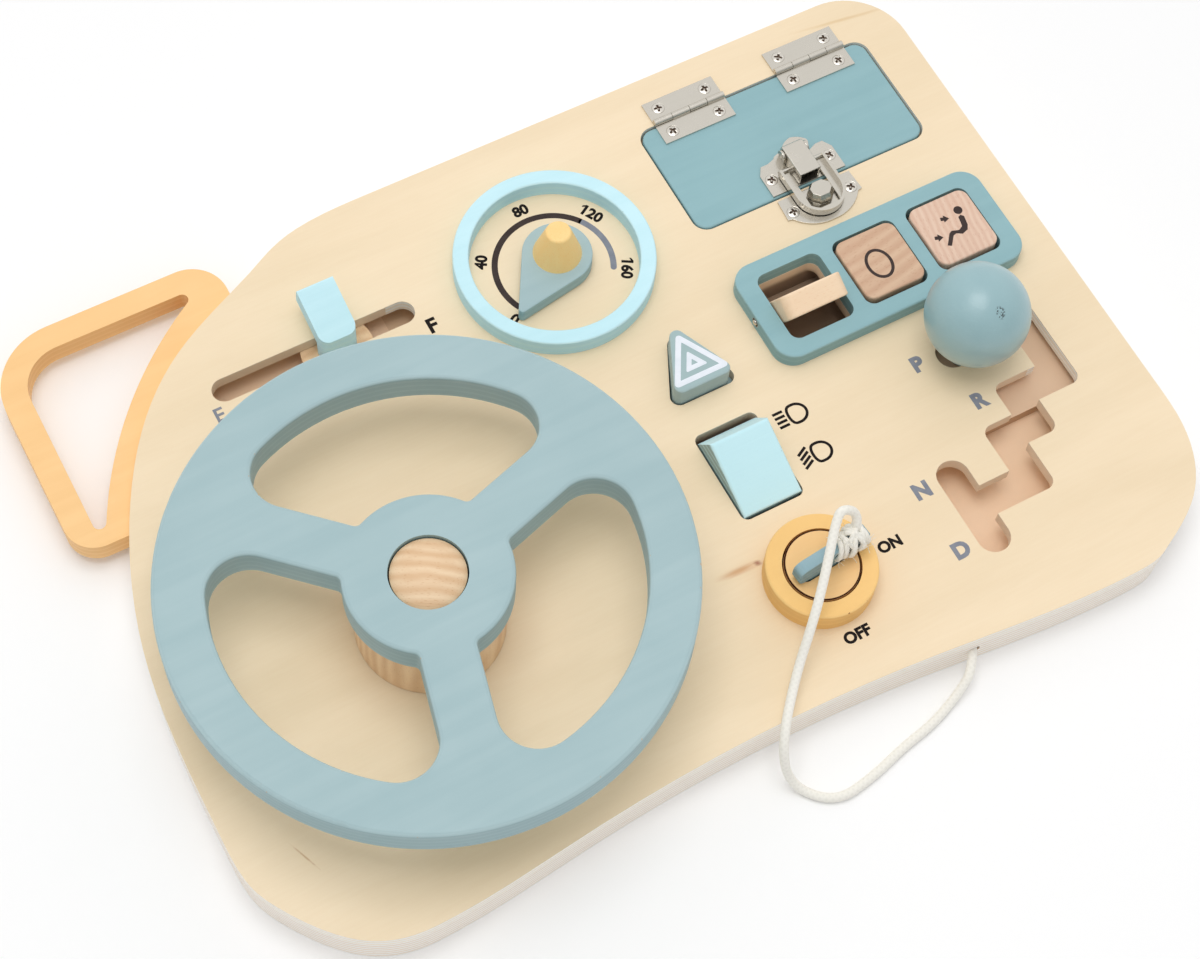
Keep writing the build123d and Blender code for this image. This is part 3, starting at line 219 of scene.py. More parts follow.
# %% [markdown]
# ## Effect: wood grain
# Birch and beech are both made of long fibres. Seen close, that is noise stretched along the grain: a slow one for
# the clouds of lighter and darker wood, and a fine one for the fibres. One group serves every wood here, with the
# streaks' length and width as inputs.

# %% Grain
grain_effect = Effect("wood_grain", {"Vector": None, "Streak length": 0.12, "Streak width": 0.012,
                                     "Fibre width": 0.0006}, ["Figure", "Fibre"])


def stretched_noise(width, detail, lengths):
    """Noise drawn out along X; lengths is how many noise cells a streak holds."""
    along = grain_effect.sum("DIVIDE", lengths, grain_effect.given["Streak length"])
    across = grain_effect.sum("DIVIDE", 1.0, width)
    stretch = grain_effect.node("ShaderNodeCombineXYZ", {"X": along, "Y": across, "Z": across})[0]
    place = grain_effect.vector("MULTIPLY", grain_effect.given["Vector"], stretch)[0]
    return grain_effect.ramp(grain_effect.noise(place, 1.0, detail, Roughness=0.55, Distortion=0.15), 0.3, 0.7)


grain_effect.put_out(figure=stretched_noise(grain_effect.given["Streak width"], 4.0, 1.0),
                     fibre=stretched_noise(grain_effect.given["Fibre width"], 2.0, 8.0))

# %% [markdown]
# ## Effect: plywood layers
# Plywood shows its make-up wherever it is cut: veneers about a millimetre thick, every second one with its fibres end
# on and so a little darker, and a thin glue line between them. The group finds a cut wall from the direction that it
# faces, and counts layers from the height.

# %% Plywood layers
ply_effect = Effect("ply_layers", {"Vector": None, "Normal": None, "Layer": 0.0013, "Lowest": 0.0},
                    ["Wall", "Glue line", "Cross veneer", "Soft edge"])
flatness = ply_effect.sum("ABSOLUTE", ply_effect.split(ply_effect.given["Normal"])["Z"])
height = ply_effect.split(ply_effect.given["Vector"])["Z"]
layers = ply_effect.sum("DIVIDE", ply_effect.minus(height, ply_effect.given["Lowest"]), ply_effect.given["Layer"])
ply_effect.put_out(wall=ply_effect.ramp(flatness, 0.3, 0.6, 1.0, 0.0),
                   soft_edge=ply_effect.times(ply_effect.ramp(flatness, 0.15, 0.5),
                                              ply_effect.ramp(flatness, 0.8, 0.97, 1.0, 0.0)),
                   glue_line=ply_effect.ramp(ply_effect.sum("PINGPONG", layers, 0.5), 0.03, 0.13, 1.0, 0.0),
                   cross_veneer=ply_effect.sum("FLOORED_MODULO", ply_effect.sum("FLOOR", layers), 2.0))

# %% [markdown]
# ## Effect: handling marks
# New toys aren't spotless: sanding dust lies in the lacquer, the spray leaves a faint orange peel, and edges carry
# nicks. A group with two noises gives a soft unevenness for the gloss and sparse specks for the colour.

# %% Handling marks
marks_effect = Effect("handling_marks", {"Vector": None, "Blotch size": 0.03, "Speck size": 0.0012,
                                         "Speck share": 0.12}, ["Blotch", "Speck", "Peel"])
blotch, speck = (marks_effect.noise(marks_effect.given["Vector"],
                                    marks_effect.sum("DIVIDE", 1.0, marks_effect.given[size]), detail)
                 for size, detail in (("Blotch size", 3.0), ("Speck size", 1.0)))
threshold = marks_effect.minus(0.86, marks_effect.given["Speck share"])
marks_effect.put_out(blotch=marks_effect.ramp(blotch, 0.3, 0.7), peel=speck,
                     speck=marks_effect.ramp(speck, threshold, marks_effect.plus(threshold, 0.05)))

# %% [markdown]
# ## Finishes
# Every material starts from the same places: where a point lies on the object, which way it faces, and where it lies
# on a UV map. Each ends by feeding the same shader a colour, a roughness and a relief.


# %% Recipe for a finish
class Finish(Recipe):
    """A material in the making, with its shader and its coordinates at hand."""

    def __init__(self, name):
        self.material = bpy.data.materials.new(name)
        self.material.use_nodes = True
        super().__init__(self.material.node_tree)
        self.shader = self.tree.nodes["Principled BSDF"].inputs
        coordinates = self.node("ShaderNodeTexCoord")
        self.place, self.normal, self.uv = coordinates["Object"], coordinates["Normal"], coordinates["UV"]

    def marks(self, blotch_size, **more):
        """Handling marks, with blotches of a size in metres."""
        return self.use(marks_effect, vector=self.place, blotch_size=blotch_size, **more)

    def grain(self, length, width, fibre, along=None):
        """Wood grain with streaks of a length and a width and with fine fibres, in metres."""
        return self.use(grain_effect, vector=self.place if along is None else along, streak_length=length,
                        streak_width=width, fibre_width=fibre)

    def layers(self, layer, lowest):
        """Plywood layers of a thickness, counted from the lowest height."""
        return self.use(ply_effect, vector=self.place, normal=self.normal, layer=layer, lowest=lowest)

    def turned(self, angle=(0.0, 0.0, 0.0), centre=(0.0, 0.0, 0.0), scale=(1.0, 1.0, 1.0)):
        """Object coordinates counted from a centre and turned, so that a pattern runs its own way."""
        return self.node("ShaderNodeMapping", {"Vector": self.vector("SUBTRACT", self.place, centre)[0],
                                               "Rotation": angle, "Scale": scale}, vector_type="TEXTURE")[0]

    def ready(self, colour, roughness, height=None, depth=0.0, **constants):
        """Feed the shader, with a bump of the given depth in metres, and hand back the material."""
        self.join(colour, self.shader["Base Color"])
        self.join(roughness, self.shader["Roughness"])
        if height is not None:
            bump = self.node("ShaderNodeBump", {"Height": height, "Distance": depth, "Strength": 1.0})[0]
            self.join(bump, self.shader["Normal"])
        for label, value in constants.items():
            self.shader[label.title().replace("_", " ").replace("Ior", "IOR")].default_value = value
        return self.material


print("a finish adds:", ", ".join(name for name in vars(Finish) if not name.startswith("_")))

# %% [markdown]
# ## Finish: lacquered birch plywood
# The face veneer is cut round the log like a roll of paper, so its figure is pale, broad and cloudy. The cut edge is
# paler still, with grey glue lines. A few thin brown mineral streaks are placed on the face, because a real sheet has
# them in definite places and not all over, and one thin dark streak lies along a step in the gear gate. Where a cutter
# has been, the wood is tanned by its heat, and deep wells get painted shade that grows with depth.


# %% Birch plywood
def inside_boxes(wood, boxes):
    """1 inside any of the boxes, which are low and high corners on the flat in millimetres, and 0 outside."""
    inside = 0.0
    for low_x, low_y, high_x, high_y in boxes:
        centre = Vector((low_x + high_x, low_y + high_y, 0.0)) * MM / 2
        offset = wood.split(wood.vector("ABSOLUTE", wood.vector("SUBTRACT", wood.place, centre)[0])[0])
        hit = wood.times(wood.sum("LESS_THAN", offset["X"], (high_x - low_x) * MM / 2),
                         wood.sum("LESS_THAN", offset["Y"], (high_y - low_y) * MM / 2))
        inside = wood.larger(inside, hit)
    return inside


def birch_ply(name, light, dark, wall, glue, layer, lowest, streaks=(), roughness=0.5, pockets=(),
              scorched=(248, 217, 185), shade_wells=()):
    """Bare plywood under clear lacquer; pockets are scorched where they are cut, and the listed wells get painted
    shade that grows with depth.
    """
    wood = Finish(name)
    grain = wood.grain(0.13, 0.030, 0.0011)
    marks = wood.marks(0.07)
    ply = wood.layers(layer, lowest)
    veneer = wood.mix(wood.times(grain["Figure"], 0.55), light, dark)
    veneer = wood.mix(wood.times(grain["Fibre"], 0.05), veneer, dark, "MULTIPLY")
    for centre, turn, length, width, colour in streaks:
        spot = wood.turned((0.0, 0.0, radians(turn)), centre, (length, width, width * 4))
        ragged = wood.plus(wood.vector("LENGTH", spot)["Value"], wood.times(grain["Fibre"], 0.2))
        veneer = wood.mix(wood.ramp(ragged, 0.1, 1.1, 0.8, 0.0), veneer, colour)
    cut = wood.mix(wood.times(ply["Cross veneer"], 0.5), wall, light)
    broken_line = wood.times(ply["Glue line"], wood.ramp(grain["Figure"], 0.1, 0.6, 0.35, 0.8))
    cut = wood.mix(broken_line, cut, glue)
    whole = wood.mix(ply["Wall"], veneer, cut)
    if pockets:
        well_floor, well_rim, cut_low, cut_high = (face - depth * MM for depth in (7.5, 3.0, 0.6, 0.1))
        level = wood.split(wood.place)["Z"]
        tan = wood.mix(wood.times(grain["Figure"], 0.4), scorched, light)
        tan = wood.mix(wood.times(ply["Wall"], 0.35), tan, glue)
        # Painted shade: inside the listed wells the colour darkens with depth towards a deep brown, for the shade deep
        # in the openings.
        well_shade = wood.times(inside_boxes(wood, shade_wells), wood.ramp(level, well_floor, well_rim, 0.65, 0.0))
        tan = wood.mix(well_shade, tan, (96, 66, 46))
        burnt = wood.times(inside_boxes(wood, pockets), wood.ramp(level, cut_low, cut_high, 1.0, 0.0))
        whole = wood.mix(burnt, whole, tan)
    gloss = wood.plus(wood.times(marks["Blotch"], 0.10), roughness)
    return wood.ready(whole, wood.plus(gloss, wood.times(ply["Wall"], 0.2)),
                      wood.minus(grain["Fibre"], ply["Glue line"]), 0.000012)


face_streaks = [((0.0135, -0.0718, face), -3.0, 0.0115, 0.0024, (208, 156, 106)),
                ((0.0209, -0.0722, face), -12.0, 0.0022, 0.0014, (140, 50, 26)),
                ((-0.1717, -0.0963, face), -68.0, 0.0085, 0.0005, (206, 164, 116)),
                ((0.1770, 0.1240, face), -8.0, 0.030, 0.0012, (226, 196, 150))]
# One thin dark streak lies along a step in the gear gate.
gate_streaks = [((0.1052, -0.0871, 0.0055), 42.0, 0.0040, 0.00035, (132, 74, 44))]
openings = [(-134, 66, -52, 92), (22, -22, 54, 16), (20, -54, 56, -18), (14, -112, 62, -62), (66, -10, 184, 40),
            (84, -118, 154, -8), (-110, -54, -80, -24)]
gate_reach, parking_end_shade = [(84, -118, 176, -8)], [(98, -48, 134, -14)]
# Painted shade darkens the depths of these openings: round the hazard button and the light rocker, and in the frame's
# windows.
shaded_openings = [(22, -22, 54, 16), (66, -10, 184, 40), (20, -54, 56, -18)]
edge_pale, glue_grey, veneer_thickness = (255, 253, 248), (222, 212, 196), 1.15 * MM
board_ply = birch_ply("board_birch_ply", (247, 226, 193), (234, 212, 176), edge_pale, glue_grey, veneer_thickness, 0.0,
                      face_streaks, pockets=openings, shade_wells=shaded_openings)
pocket_ply = birch_ply("core_birch_ply", (231, 199, 165), (216, 180, 144), edge_pale, glue_grey, veneer_thickness,
                       0.0, gate_streaks, 0.62, openings, shade_wells=shaded_openings)
# The parking end of the gear gate gets painted shade in its depth.
floor_ply = birch_ply("gate_floor_birch_ply", (226, 192, 160), (208, 170, 134), (214, 178, 138), (140, 100, 66),
                      1.5 * MM, 0.0, (), 0.62, gate_reach, (226, 194, 164), parking_end_shade)
barrel_ply = birch_ply("barrel_birch_ply", (250, 206, 144), (240, 194, 130), (222, 178, 116), (180, 134, 82),
                       1.4 * MM, face)
print("birch finishes:", board_ply.name, pocket_ply.name, floor_ply.name, barrel_ply.name)

# %% [markdown]
# ## Finish: stained plywood
# The wheel, the frame and the handle are sprayed with a thin matt colour. It hides the grain but not the build-up of
# the plywood, which shows on the cut walls as faint steps, and it wears pale along rounded edges. The cut walls are
# also mixed towards a side colour: painted light and shade for how the light falls on the sides.


# %% Stained plywood
def stained_ply(name, colour, shade, edge, layer, lowest, worn=(205, 168, 122), edge_share=0.3, side_shade_share=0.25,
                wall=None):
    """Thin matt colour over plywood; shade is its darker tone and edge its paler one. Cut sides are painted towards
    wall,
    or towards shade without it: painted light and shade that stand in for how the light falls on the sides.
    """
    stain = Finish(name)
    grain = stain.grain(0.09, 0.006, 0.0006)
    marks = stain.marks(0.035)
    ply = stain.layers(layer, lowest)
    body = stain.mix(stain.times(grain["Figure"], 0.22), colour, shade)
    body = stain.mix(stain.times(marks["Blotch"], 0.12), body, shade)
    # Painted light and shade: besides the real veneer steps and glue lines, cut sides are mixed towards the side
    # colour by a set share, for how the light falls on them.
    layers_and_side_shade = stain.plus(stain.times(ply["Cross veneer"], 0.28), side_shade_share)
    layers_and_side_shade = stain.plus(layers_and_side_shade, stain.times(ply["Glue line"], 0.3))
    body = stain.mix(stain.times(ply["Wall"], layers_and_side_shade), body, wall or shade)
    body = stain.mix(stain.times(ply["Soft edge"], edge_share), body, edge)
    rubbed = stain.times(marks["Speck"], stain.plus(ply["Soft edge"], 0.05))
    relief = stain.plus(stain.times(grain["Fibre"], 0.5), marks["Peel"])
    return stain.ready(stain.mix(rubbed, body, worn), stain.plus(stain.times(marks["Blotch"], 0.12), 0.52),
                       stain.minus(relief, ply["Glue line"]), 0.000012)


key_blue = stained_ply("key_blue_ply", (148, 180, 190), (114, 148, 158), (168, 198, 206), 1.4 * MM,
                       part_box("ignition_key")[0].z)
wheel_blue = stained_ply("wheel_blue_ply", (167, 192, 196), (138, 170, 176), (190, 214, 217), 1.6 * MM,
                         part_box("steering_wheel")[0].z, edge_share=0.35)
door_blue = stained_ply("door_blue_ply", (146, 185, 191), (118, 160, 168), (164, 199, 203), 1.4 * MM,
                        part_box("tile_frame")[0].z, edge_share=0.35)
# The dial ring, the rocker and the hazard button get side colours of their own: painted light and shade matched to how
# their sides are lit, darkest on the rocker, whose sides stand deep in its hole.
mint = stained_ply("mint_ply", (205, 242, 251), (172, 220, 230), (222, 250, 255), 1.8 * MM, face, (170, 205, 205),
                   side_shade_share=0.6, wall=(182, 230, 248))
rocker_mint = stained_ply("rocker_mint_ply", (201, 240, 248), (194, 234, 242), (222, 250, 255), 1.6 * MM, face,
                          (170, 205, 205), side_shade_share=0.5, wall=(122, 146, 148))
hazard_grey = stained_ply("hazard_grey_ply", (160, 184, 186), (170, 193, 194), (200, 217, 219), 1.6 * MM, face,
                          (180, 196, 192), side_shade_share=0.4, wall=(156, 178, 182))
orange = stained_ply("orange_ply", (254, 208, 146), (232, 178, 108), (252, 214, 156), 1.5 * MM,
                     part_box("side_handle")[0].z, (186, 124, 66))
ring_orange = stained_ply("ring_orange_ply", (252, 206, 130), (236, 186, 112), (255, 220, 154), 1.7 * MM, face,
                          (170, 112, 60))
print("stained finishes ready")

# %% [markdown]
# ## Finish: bare beech
# Beech gives itself away by its flecks: short dark dashes that lie along the grain, on a pinkish ground with soft
# growth bands. The bands are a distorted wave, the flecks are small stretched cells.


# %% Beech
unit_wave = 0.314  # metres from band to band in a wave texture of scale 1


def beech(name, light, dark, turn=(0.0, 0.0, 0.0), band=0.0045, band_share=0.6):
    """Sanded beech without stain."""
    wood = Finish(name)
    along = wood.turned(turn)
    grain = wood.grain(0.05, 0.003, 0.0004, along)
    wave = wood.node("ShaderNodeTexWave", {"Vector": along, "Scale": unit_wave / band, "Distortion": 4.0,
                                           "Detail": 2.0, "Detail Scale": 0.6}, bands_direction="Y")[1]
    fleck_place = wood.node("ShaderNodeMapping", {"Vector": along, "Scale": (0.0030, 0.0006, 0.0006)},
                            vector_type="TEXTURE")[0]
    cells = wood.node("ShaderNodeTexVoronoi", {"Vector": fleck_place, "Scale": 1.0})["Distance"]
    flecks = wood.ramp(cells, 0.10, 0.28, 1.0, 0.0)
    colour = wood.mix(wood.times(wave, band_share), light, dark)
    colour = wood.mix(wood.times(grain["Figure"], 0.35), colour, dark)
    colour = wood.mix(wood.times(flecks, 0.30), colour, dark, "MULTIPLY")
    return wood.ready(colour, wood.plus(wood.times(grain["Fibre"], 0.12), 0.55),
                      wood.minus(grain["Fibre"], flecks), 0.00003)


upright = (0.0, radians(90), 0.0)
cap_beech = beech("cap_beech", (240, 212, 176), (214, 172, 128), (0.0, 0.0, radians(-30)))
spacer_beech = beech("spacer_beech", (244, 212, 172), (216, 174, 130), upright)
tile_edge_beech = beech("tile_edge_beech", (252, 224, 192), (238, 204, 166), band=0.012, band_share=0.3)
tile_wavy_beech = beech("tile_wavy_beech", (219, 186, 156), (198, 156, 127), (0.0, 0.0, radians(8)), 0.005)
tile_straight_beech = beech("tile_straight_beech", (232, 202, 180), (212, 170, 146), (0.0, 0.0, radians(82)), 0.0026,
                            0.5)
knob_beech = beech("knob_beech", (255, 220, 150), (255, 208, 132), upright, 0.01, 0.3)
print("beech finishes ready")

# %% [markdown]
# ## Finish: satin ball
# The gear knob is a turned ball, dipped in paint. It is smoother than the flat parts and takes a soft highlight, with
# the faint turning marks that a lathe leaves round its upright axis, and one small scuff of chipped paint.

# %% Ball paint
ball = Finish("ball_paint")
marks = ball.marks(0.012)
ball_colour = ball.mix(ball.times(marks["Blotch"], 0.35), (146, 180, 186), (158, 190, 195))
scuff = ball.vector("LENGTH", ball.turned(centre=(0.1377, -0.0402, 0.0610), scale=(0.0022, 0.0030, 0.0030)))["Value"]
flakes = ball.noise(ball.place, 1500.0, 1.0)
chipped = ball.times(ball.ramp(scuff, 0.5, 1.0, 1.0, 0.0), ball.ramp(flakes, 0.50, 0.56))
turning = ball.noise(ball.turned(scale=(1.0, 1.0, 0.02)), 12.0, 2.0)
ball_paint = ball.ready(ball.mix(chipped, ball_colour, (38, 46, 48)),
                        ball.plus(ball.times(marks["Blotch"], 0.14), 0.30), ball.plus(turning, marks["Peel"]),
                        0.00006, coat_weight=0.5, coat_roughness=0.26)
print("finish", ball_paint.name)

# %% [markdown]
# ## Finish: nickel plate and zinc
# The hinges and the latch are stamped from thin sheet and nickel plated: bright, slightly warm, with the roller's
# fine lines and tiny pits. Zinc, on the screws that nobody sees, is greyer and duller. Both are one recipe.


# %% Plated steel
def plated(name, bright, dull, roughness, shaded_recess=False):
    """Plated sheet steel; for a screw head, painted shade darkens the cross and the rim wherever its UV map says so.
    """
    metal = Finish(name)
    rolling = metal.noise(metal.turned(scale=(0.02, 0.0005, 0.0005)), 1.0, 3.0)
    marks = metal.marks(0.006, speck_size=0.0006, speck_share=0.10)
    colour = metal.mix(metal.times(rolling, 0.2), bright, dull)
    colour = metal.mix(metal.times(marks["Speck"], 0.3), colour, dull)
    if shaded_recess:
        # Painted shade: the driver's cross and the rim round the head are darkened to a deep brown.
        colour = metal.mix(metal.split(metal.uv)["X"], colour, (92, 74, 62))
    return metal.ready(colour, metal.plus(metal.times(marks["Blotch"], 0.06), roughness),
                       metal.plus(rolling, marks["Peel"]), 0.000001, metallic=1.0)


nickel = plated("nickel_plate", (207, 202, 192), (186, 180, 170), 0.22)
nickel_screw = plated("nickel_screw", (214, 209, 200), (190, 183, 172), 0.2, shaded_recess=True)
zinc, zinc_screw = (plated(name, (178, 180, 182), (140, 142, 144), 0.36, shaded_recess)
                    for name, shaded_recess in (("zinc_plate", False), ("zinc_screw", True)))
print("metal finishes:", nickel.name, nickel_screw.name, zinc.name, zinc_screw.name)

# %% [markdown]
# ## Finish: foam rubber and printing ink
# The button's return pad is open foam, mottled by its cells. The ink of the printing is screen printed: flat, a
# little uneven in strength where the screen lifted. The dark seam round the lock's barrel is charred by the cutter and
# is also painted shade of the gap to its hole.


# %% Foam and inks
def mottled(name, colour, other, size, roughness, relief, gloss=0.5):
    """An even material broken up by a fine mottle."""
    even = Finish(name)
    marks = even.marks(size, speck_size=size / 4)
    return even.ready(even.mix(even.times(marks["Blotch"], 0.6), colour, other),
                      even.plus(even.times(marks["Peel"], 0.15), roughness), marks["Peel"], relief,
                      specular_ior_level=gloss)


def ink(name, colour, other, roughness=0.55, gloss=0.5, size=0.003):
    """A printed film, flat to a hundredth of a millimetre."""
    return mottled(name, colour, other, size, roughness, 0.01 * MM, gloss)


foam = mottled("foam_rubber", (92, 92, 94), (66, 66, 68), 0.0015, 0.85, 0.0002)
black_ink = ink("black_ink", (22, 17, 16), (34, 28, 27), gloss=0.12)
# The seam colour is the cutter's char together with painted shade of the gap round the lock's barrel.
seam_char_and_shade = ink("scorched_edge", (62, 26, 12), (46, 20, 10), 0.8, 0.1, 0.002)
brown_ink = ink("brown_black_ink", (58, 46, 44), (72, 60, 56), gloss=0.2)
grey_ink = ink("grey_ink", (126, 130, 142), (146, 149, 158), gloss=0.3)
white_ink = ink("white_ink", (236, 240, 248), (222, 230, 238), 0.5)
print("foam and inks ready")

# %% [markdown]
# ## Give the solids their finishes
# A solid that is right in shape only needs its material changed. The slot on its mesh is filled with the finish that
# its maker would have used.

# %% Assign the finishes
finishes = {
    board_ply: ["top_panel"],
    pocket_ply: ["back_panel", "core_panel"],
    floor_ply: ["gate_floor", "shift_flange", "barrel_washer"],
    barrel_ply: ["ignition_barrel"],
    orange: ["side_handle"],
    ring_orange: ["ignition_ring"],
    wheel_blue: ["steering_wheel", "gauge_pointer", "shift_stem"],
    key_blue: ["ignition_key"],
    door_blue: ["glovebox_door", "tile_frame"],
    mint: ["gauge_ring", "fuel_lever"],
    rocker_mint: ["light_rocker"],
    hazard_grey: ["hazard_button"],
    cap_beech: ["wheel_cap"],
    spacer_beech: ["wheel_spacer", "fuel_carriage"],
    tile_edge_beech: ["tile_1"],
    tile_wavy_beech: ["tile_2"],
    tile_straight_beech: ["tile_3"],
    knob_beech: ["pointer_knob"],
    ball_paint: ["shift_ball"],
    nickel: ["catch_plate", "catch_screws", "hinge_board_leaves", "hinge_door_leaves", "hinge_pins",
             "board_hinge_screws", "door_hinge_screws", "latch_base", "latch_screws", "latch_pin", "latch_lever",
             "latch_loop"],
    zinc: ["back_screws", "tile_rod", "wheel_bolt", "wheel_washer", "wheel_nut", "wheel_screws", "rocker_pin",
           "fuel_screw", "pointer_bolt", "barrel_screw", "shift_screw"],
    foam: ["button_pad"],
}
for finish, members in finishes.items():
    for member in members:
        slots = nodes[member].data.materials
        slots.clear()
        slots.append(finish)
print("finished", sum(len(members) for members in finishes.values()), "solids")

# %% [markdown]
# ## Sheet metal with soft edges
# Stamped sheet never has a razor edge: the press rounds it, and that thin rounding is what catches the light. A copy
# of each solid is merged, its flat triangles are joined into whole faces, and the sharp edges are bevelled by a tenth
# or two of a millimetre.


# %% Helpers for extra pieces
def add_piece(name, mesh, material, body):
    """Show a mesh as a piece of the object that moves with one body."""
    mesh.materials.clear()
    mesh.materials.append(material)
    piece = put_in_scene(name, mesh)
    if body:
        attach(piece, body)
    return piece


def merged(node):
    """A closed copy of a solid, with whole flat faces instead of loose triangles."""
    made = bmesh.new()
    made.from_mesh(nodes[node].data)
    bmesh.ops.remove_doubles(made, verts=made.verts, dist=0.001 * MM)
    bmesh.ops.dissolve_limit(made, angle_limit=radians(1), verts=made.verts, edges=made.edges)
    return made


def bevel(made, edges, width, segments, profile=0.5, clamped=False):
    """Round some edges by a width."""
    bmesh.ops.bevel(made, geom=edges, offset=width, offset_type="OFFSET", segments=segments, profile=profile,
                    affect="EDGES", clamp_overlap=clamped)


def soften(made, width, sharper_than=40):
    """Bevel every edge that is sharper than an angle in degrees."""
    sharp = [edge for edge in made.edges if edge.is_manifold and edge.calc_face_angle(0) > radians(sharper_than)]
    bevel(made, sharp, width, 2, 0.6, True)


def mesh_from(made, name):
    """Close a bmesh into a mesh whose faces look outwards."""
    bmesh.ops.recalc_face_normals(made, faces=made.faces)
    mesh = bpy.data.meshes.new(name)
    made.to_mesh(mesh)
    made.free()
    return mesh


def result_of(holder, name):
    """The mesh that an object's modifiers make; the object itself is cleared away."""
    mesh = bpy.data.meshes.new_from_object(holder.evaluated_get(bpy.context.evaluated_depsgraph_get()))
    bpy.data.objects.remove(holder)
    mesh.name = name
    return mesh


def shaded_mesh(made, name, smooth_below=50, gauge=0.0):
    """A mesh whose flats stay flat and whose small bevels are smooth; gauge thickens it inwards."""
    mesh = mesh_from(made, name + "_plain")
    mesh.shade_smooth()
    mesh.set_sharp_from_angle(angle=radians(smooth_below))
    holder = put_in_scene(name + "_holder", mesh)
    if gauge:
        solid = holder.modifiers.new("solid", "SOLIDIFY")
        solid.thickness, solid.offset = gauge, -1.0
    normals = holder.modifiers.new("normals", "WEIGHTED_NORMAL")
    normals.keep_sharp, normals.weight = True, 80
    return result_of(holder, name)


# %% Softened sheets
def clipped(value):
    """A value held between 0 and 1."""
    return min(max(value, 0.0), 1.0)


def reshape_dome(made):
    """Lean the rounded back of the latch's base to the right and fill the notch to its left."""
    back, highest = middle("latch_pin").y - 0.6 * MM, face + 1.0 * MM
    half_width, notch_side, through_sheet = 8 * MM, latch_middle - 4 * MM, 0.8 * MM
    slope_length, lean, stretch, notch_depth = 5 * MM, 3.3 * MM, 0.6 * MM, 2.6 * MM

    def on_cut_edge(vertex):
        """True for a point of the dome's outline, where an edge runs straight through the sheet."""
        ways = [edge.other_vert(vertex).co - vertex.co for edge in vertex.link_edges]
        return (vertex.co.y > back and vertex.co.z < highest and abs(vertex.co.x - latch_middle) < half_width
                and any(abs(way.z) > through_sheet and abs(way.y) < 0.01 * MM for way in ways))

    for vertex in [vertex for vertex in made.verts if on_cut_edge(vertex)]:
        share = clipped((vertex.co.y - back) / slope_length)
        share = share * share * (3 - 2 * share)
        in_notch = vertex.co.x < notch_side
        vertex.co.x += lean * share
        vertex.co.y += stretch * share + notch_depth * in_notch * (1 - share)


latch_middle = middle("latch_base").x
sheet_edge = 0.16 * MM
for node, body in (("hinge_board_leaves", "board"), ("hinge_door_leaves", "door"), ("latch_base", "door"),
                   ("latch_loop", "latch_loop_body")):
    sheet = merged(node)
    if node == "latch_base":
        reshape_dome(sheet)
    soften(sheet, sheet_edge)
    softened = add_piece(node + "_softened", shaded_mesh(sheet, node + "_softened"), nickel, body)
    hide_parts(node)
    print(softened.name, len(softened.data.polygons), "faces")

# %% [markdown]
# ### The latch's lever
# The lever is one folded strip: a flat top, two sides that hang down beside it, and a rounded back over the pivot. Its
# front stays open, and the dark inside shows there. It starts as a box without front and bottom, gets its two kinds of
# bends as bevels, and a solidify modifier gives the sheet its thickness.

# %% Folded lever
lever_low, lever_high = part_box("latch_lever")
back_round, fold_radius, sheet_gauge = 1.9 * MM, 0.45 * MM, 0.8 * MM
shell = bmesh.new()
bmesh.ops.create_cube(shell, size=1.0, matrix=Matrix.Translation((lever_low + lever_high) / 2)
                      @ Matrix.Diagonal((*(lever_high - lever_low), 1.0)))
open_sides = [side for side in shell.faces if min(side.normal.y, side.normal.z) < -0.9]
bmesh.ops.delete(shell, geom=open_sides, context="FACES")
back_corner = lever_high - Vector((0.001, 0.001, 0.001)) * MM
top_back = [edge for edge in shell.edges if not edge.is_boundary
            and all(vertex.co.y > back_corner.y and vertex.co.z > back_corner.z for vertex in edge.verts)]
bevel(shell, top_back, back_round, 8)
folds = [edge for edge in shell.edges if not edge.is_boundary and edge.calc_face_angle(0) > radians(60)]
bevel(shell, folds, fold_radius, 3)
folded_lever = add_piece("folded_lever", shaded_mesh(shell, "folded_lever", gauge=sheet_gauge), nickel,
                         "latch_lever_body")
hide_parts("latch_lever")
print("lever", len(folded_lever.data.polygons), "faces, top at", round(lever_high.z / MM, 2), "mm")

# %% [markdown]
# ### The catch's knob
# The loop hooks behind a small eight-sided knob on the catch plate. It is pressed from the plate: a narrow neck, a
# wide belt that holds the loop, and a bevelled crown. The plate comes from the solid with its own knob cut away.


# %% Catch with a faceted knob
def bridge(made, first, second):
    """Join two closed rings of points by four-sided faces."""
    return [made.faces.new(corners) for corners in zip(first, first[1:] + first[:1], second[1:] + second[:1], second)]


catch = merged("catch_plate")
plate_gauge, just_above, facet_edge = 0.9 * MM, 0.05 * MM, 0.14 * MM
plate_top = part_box("latch_base")[0].z + plate_gauge
knob_rise = max(vertex.co.z for vertex in catch.verts) - plate_top
knob_faces = [side for side in catch.faces if side.calc_center_median().z > plate_top + just_above]
knob_points = {vertex for side in knob_faces for vertex in side.verts}
knob_x = sum(vertex.co.x for vertex in knob_points) / len(knob_points)
foot_y = [vertex.co.y for vertex in knob_points if vertex.co.z < plate_top + 2 * just_above]
knob_y = (min(foot_y) + max(foot_y)) / 2
bmesh.ops.delete(catch, geom=knob_faces, context="FACES")
bmesh.ops.holes_fill(catch, edges=[edge for edge in catch.edges if edge.is_boundary])
soften(catch, sheet_edge)
facets = bmesh.new()
rings = []
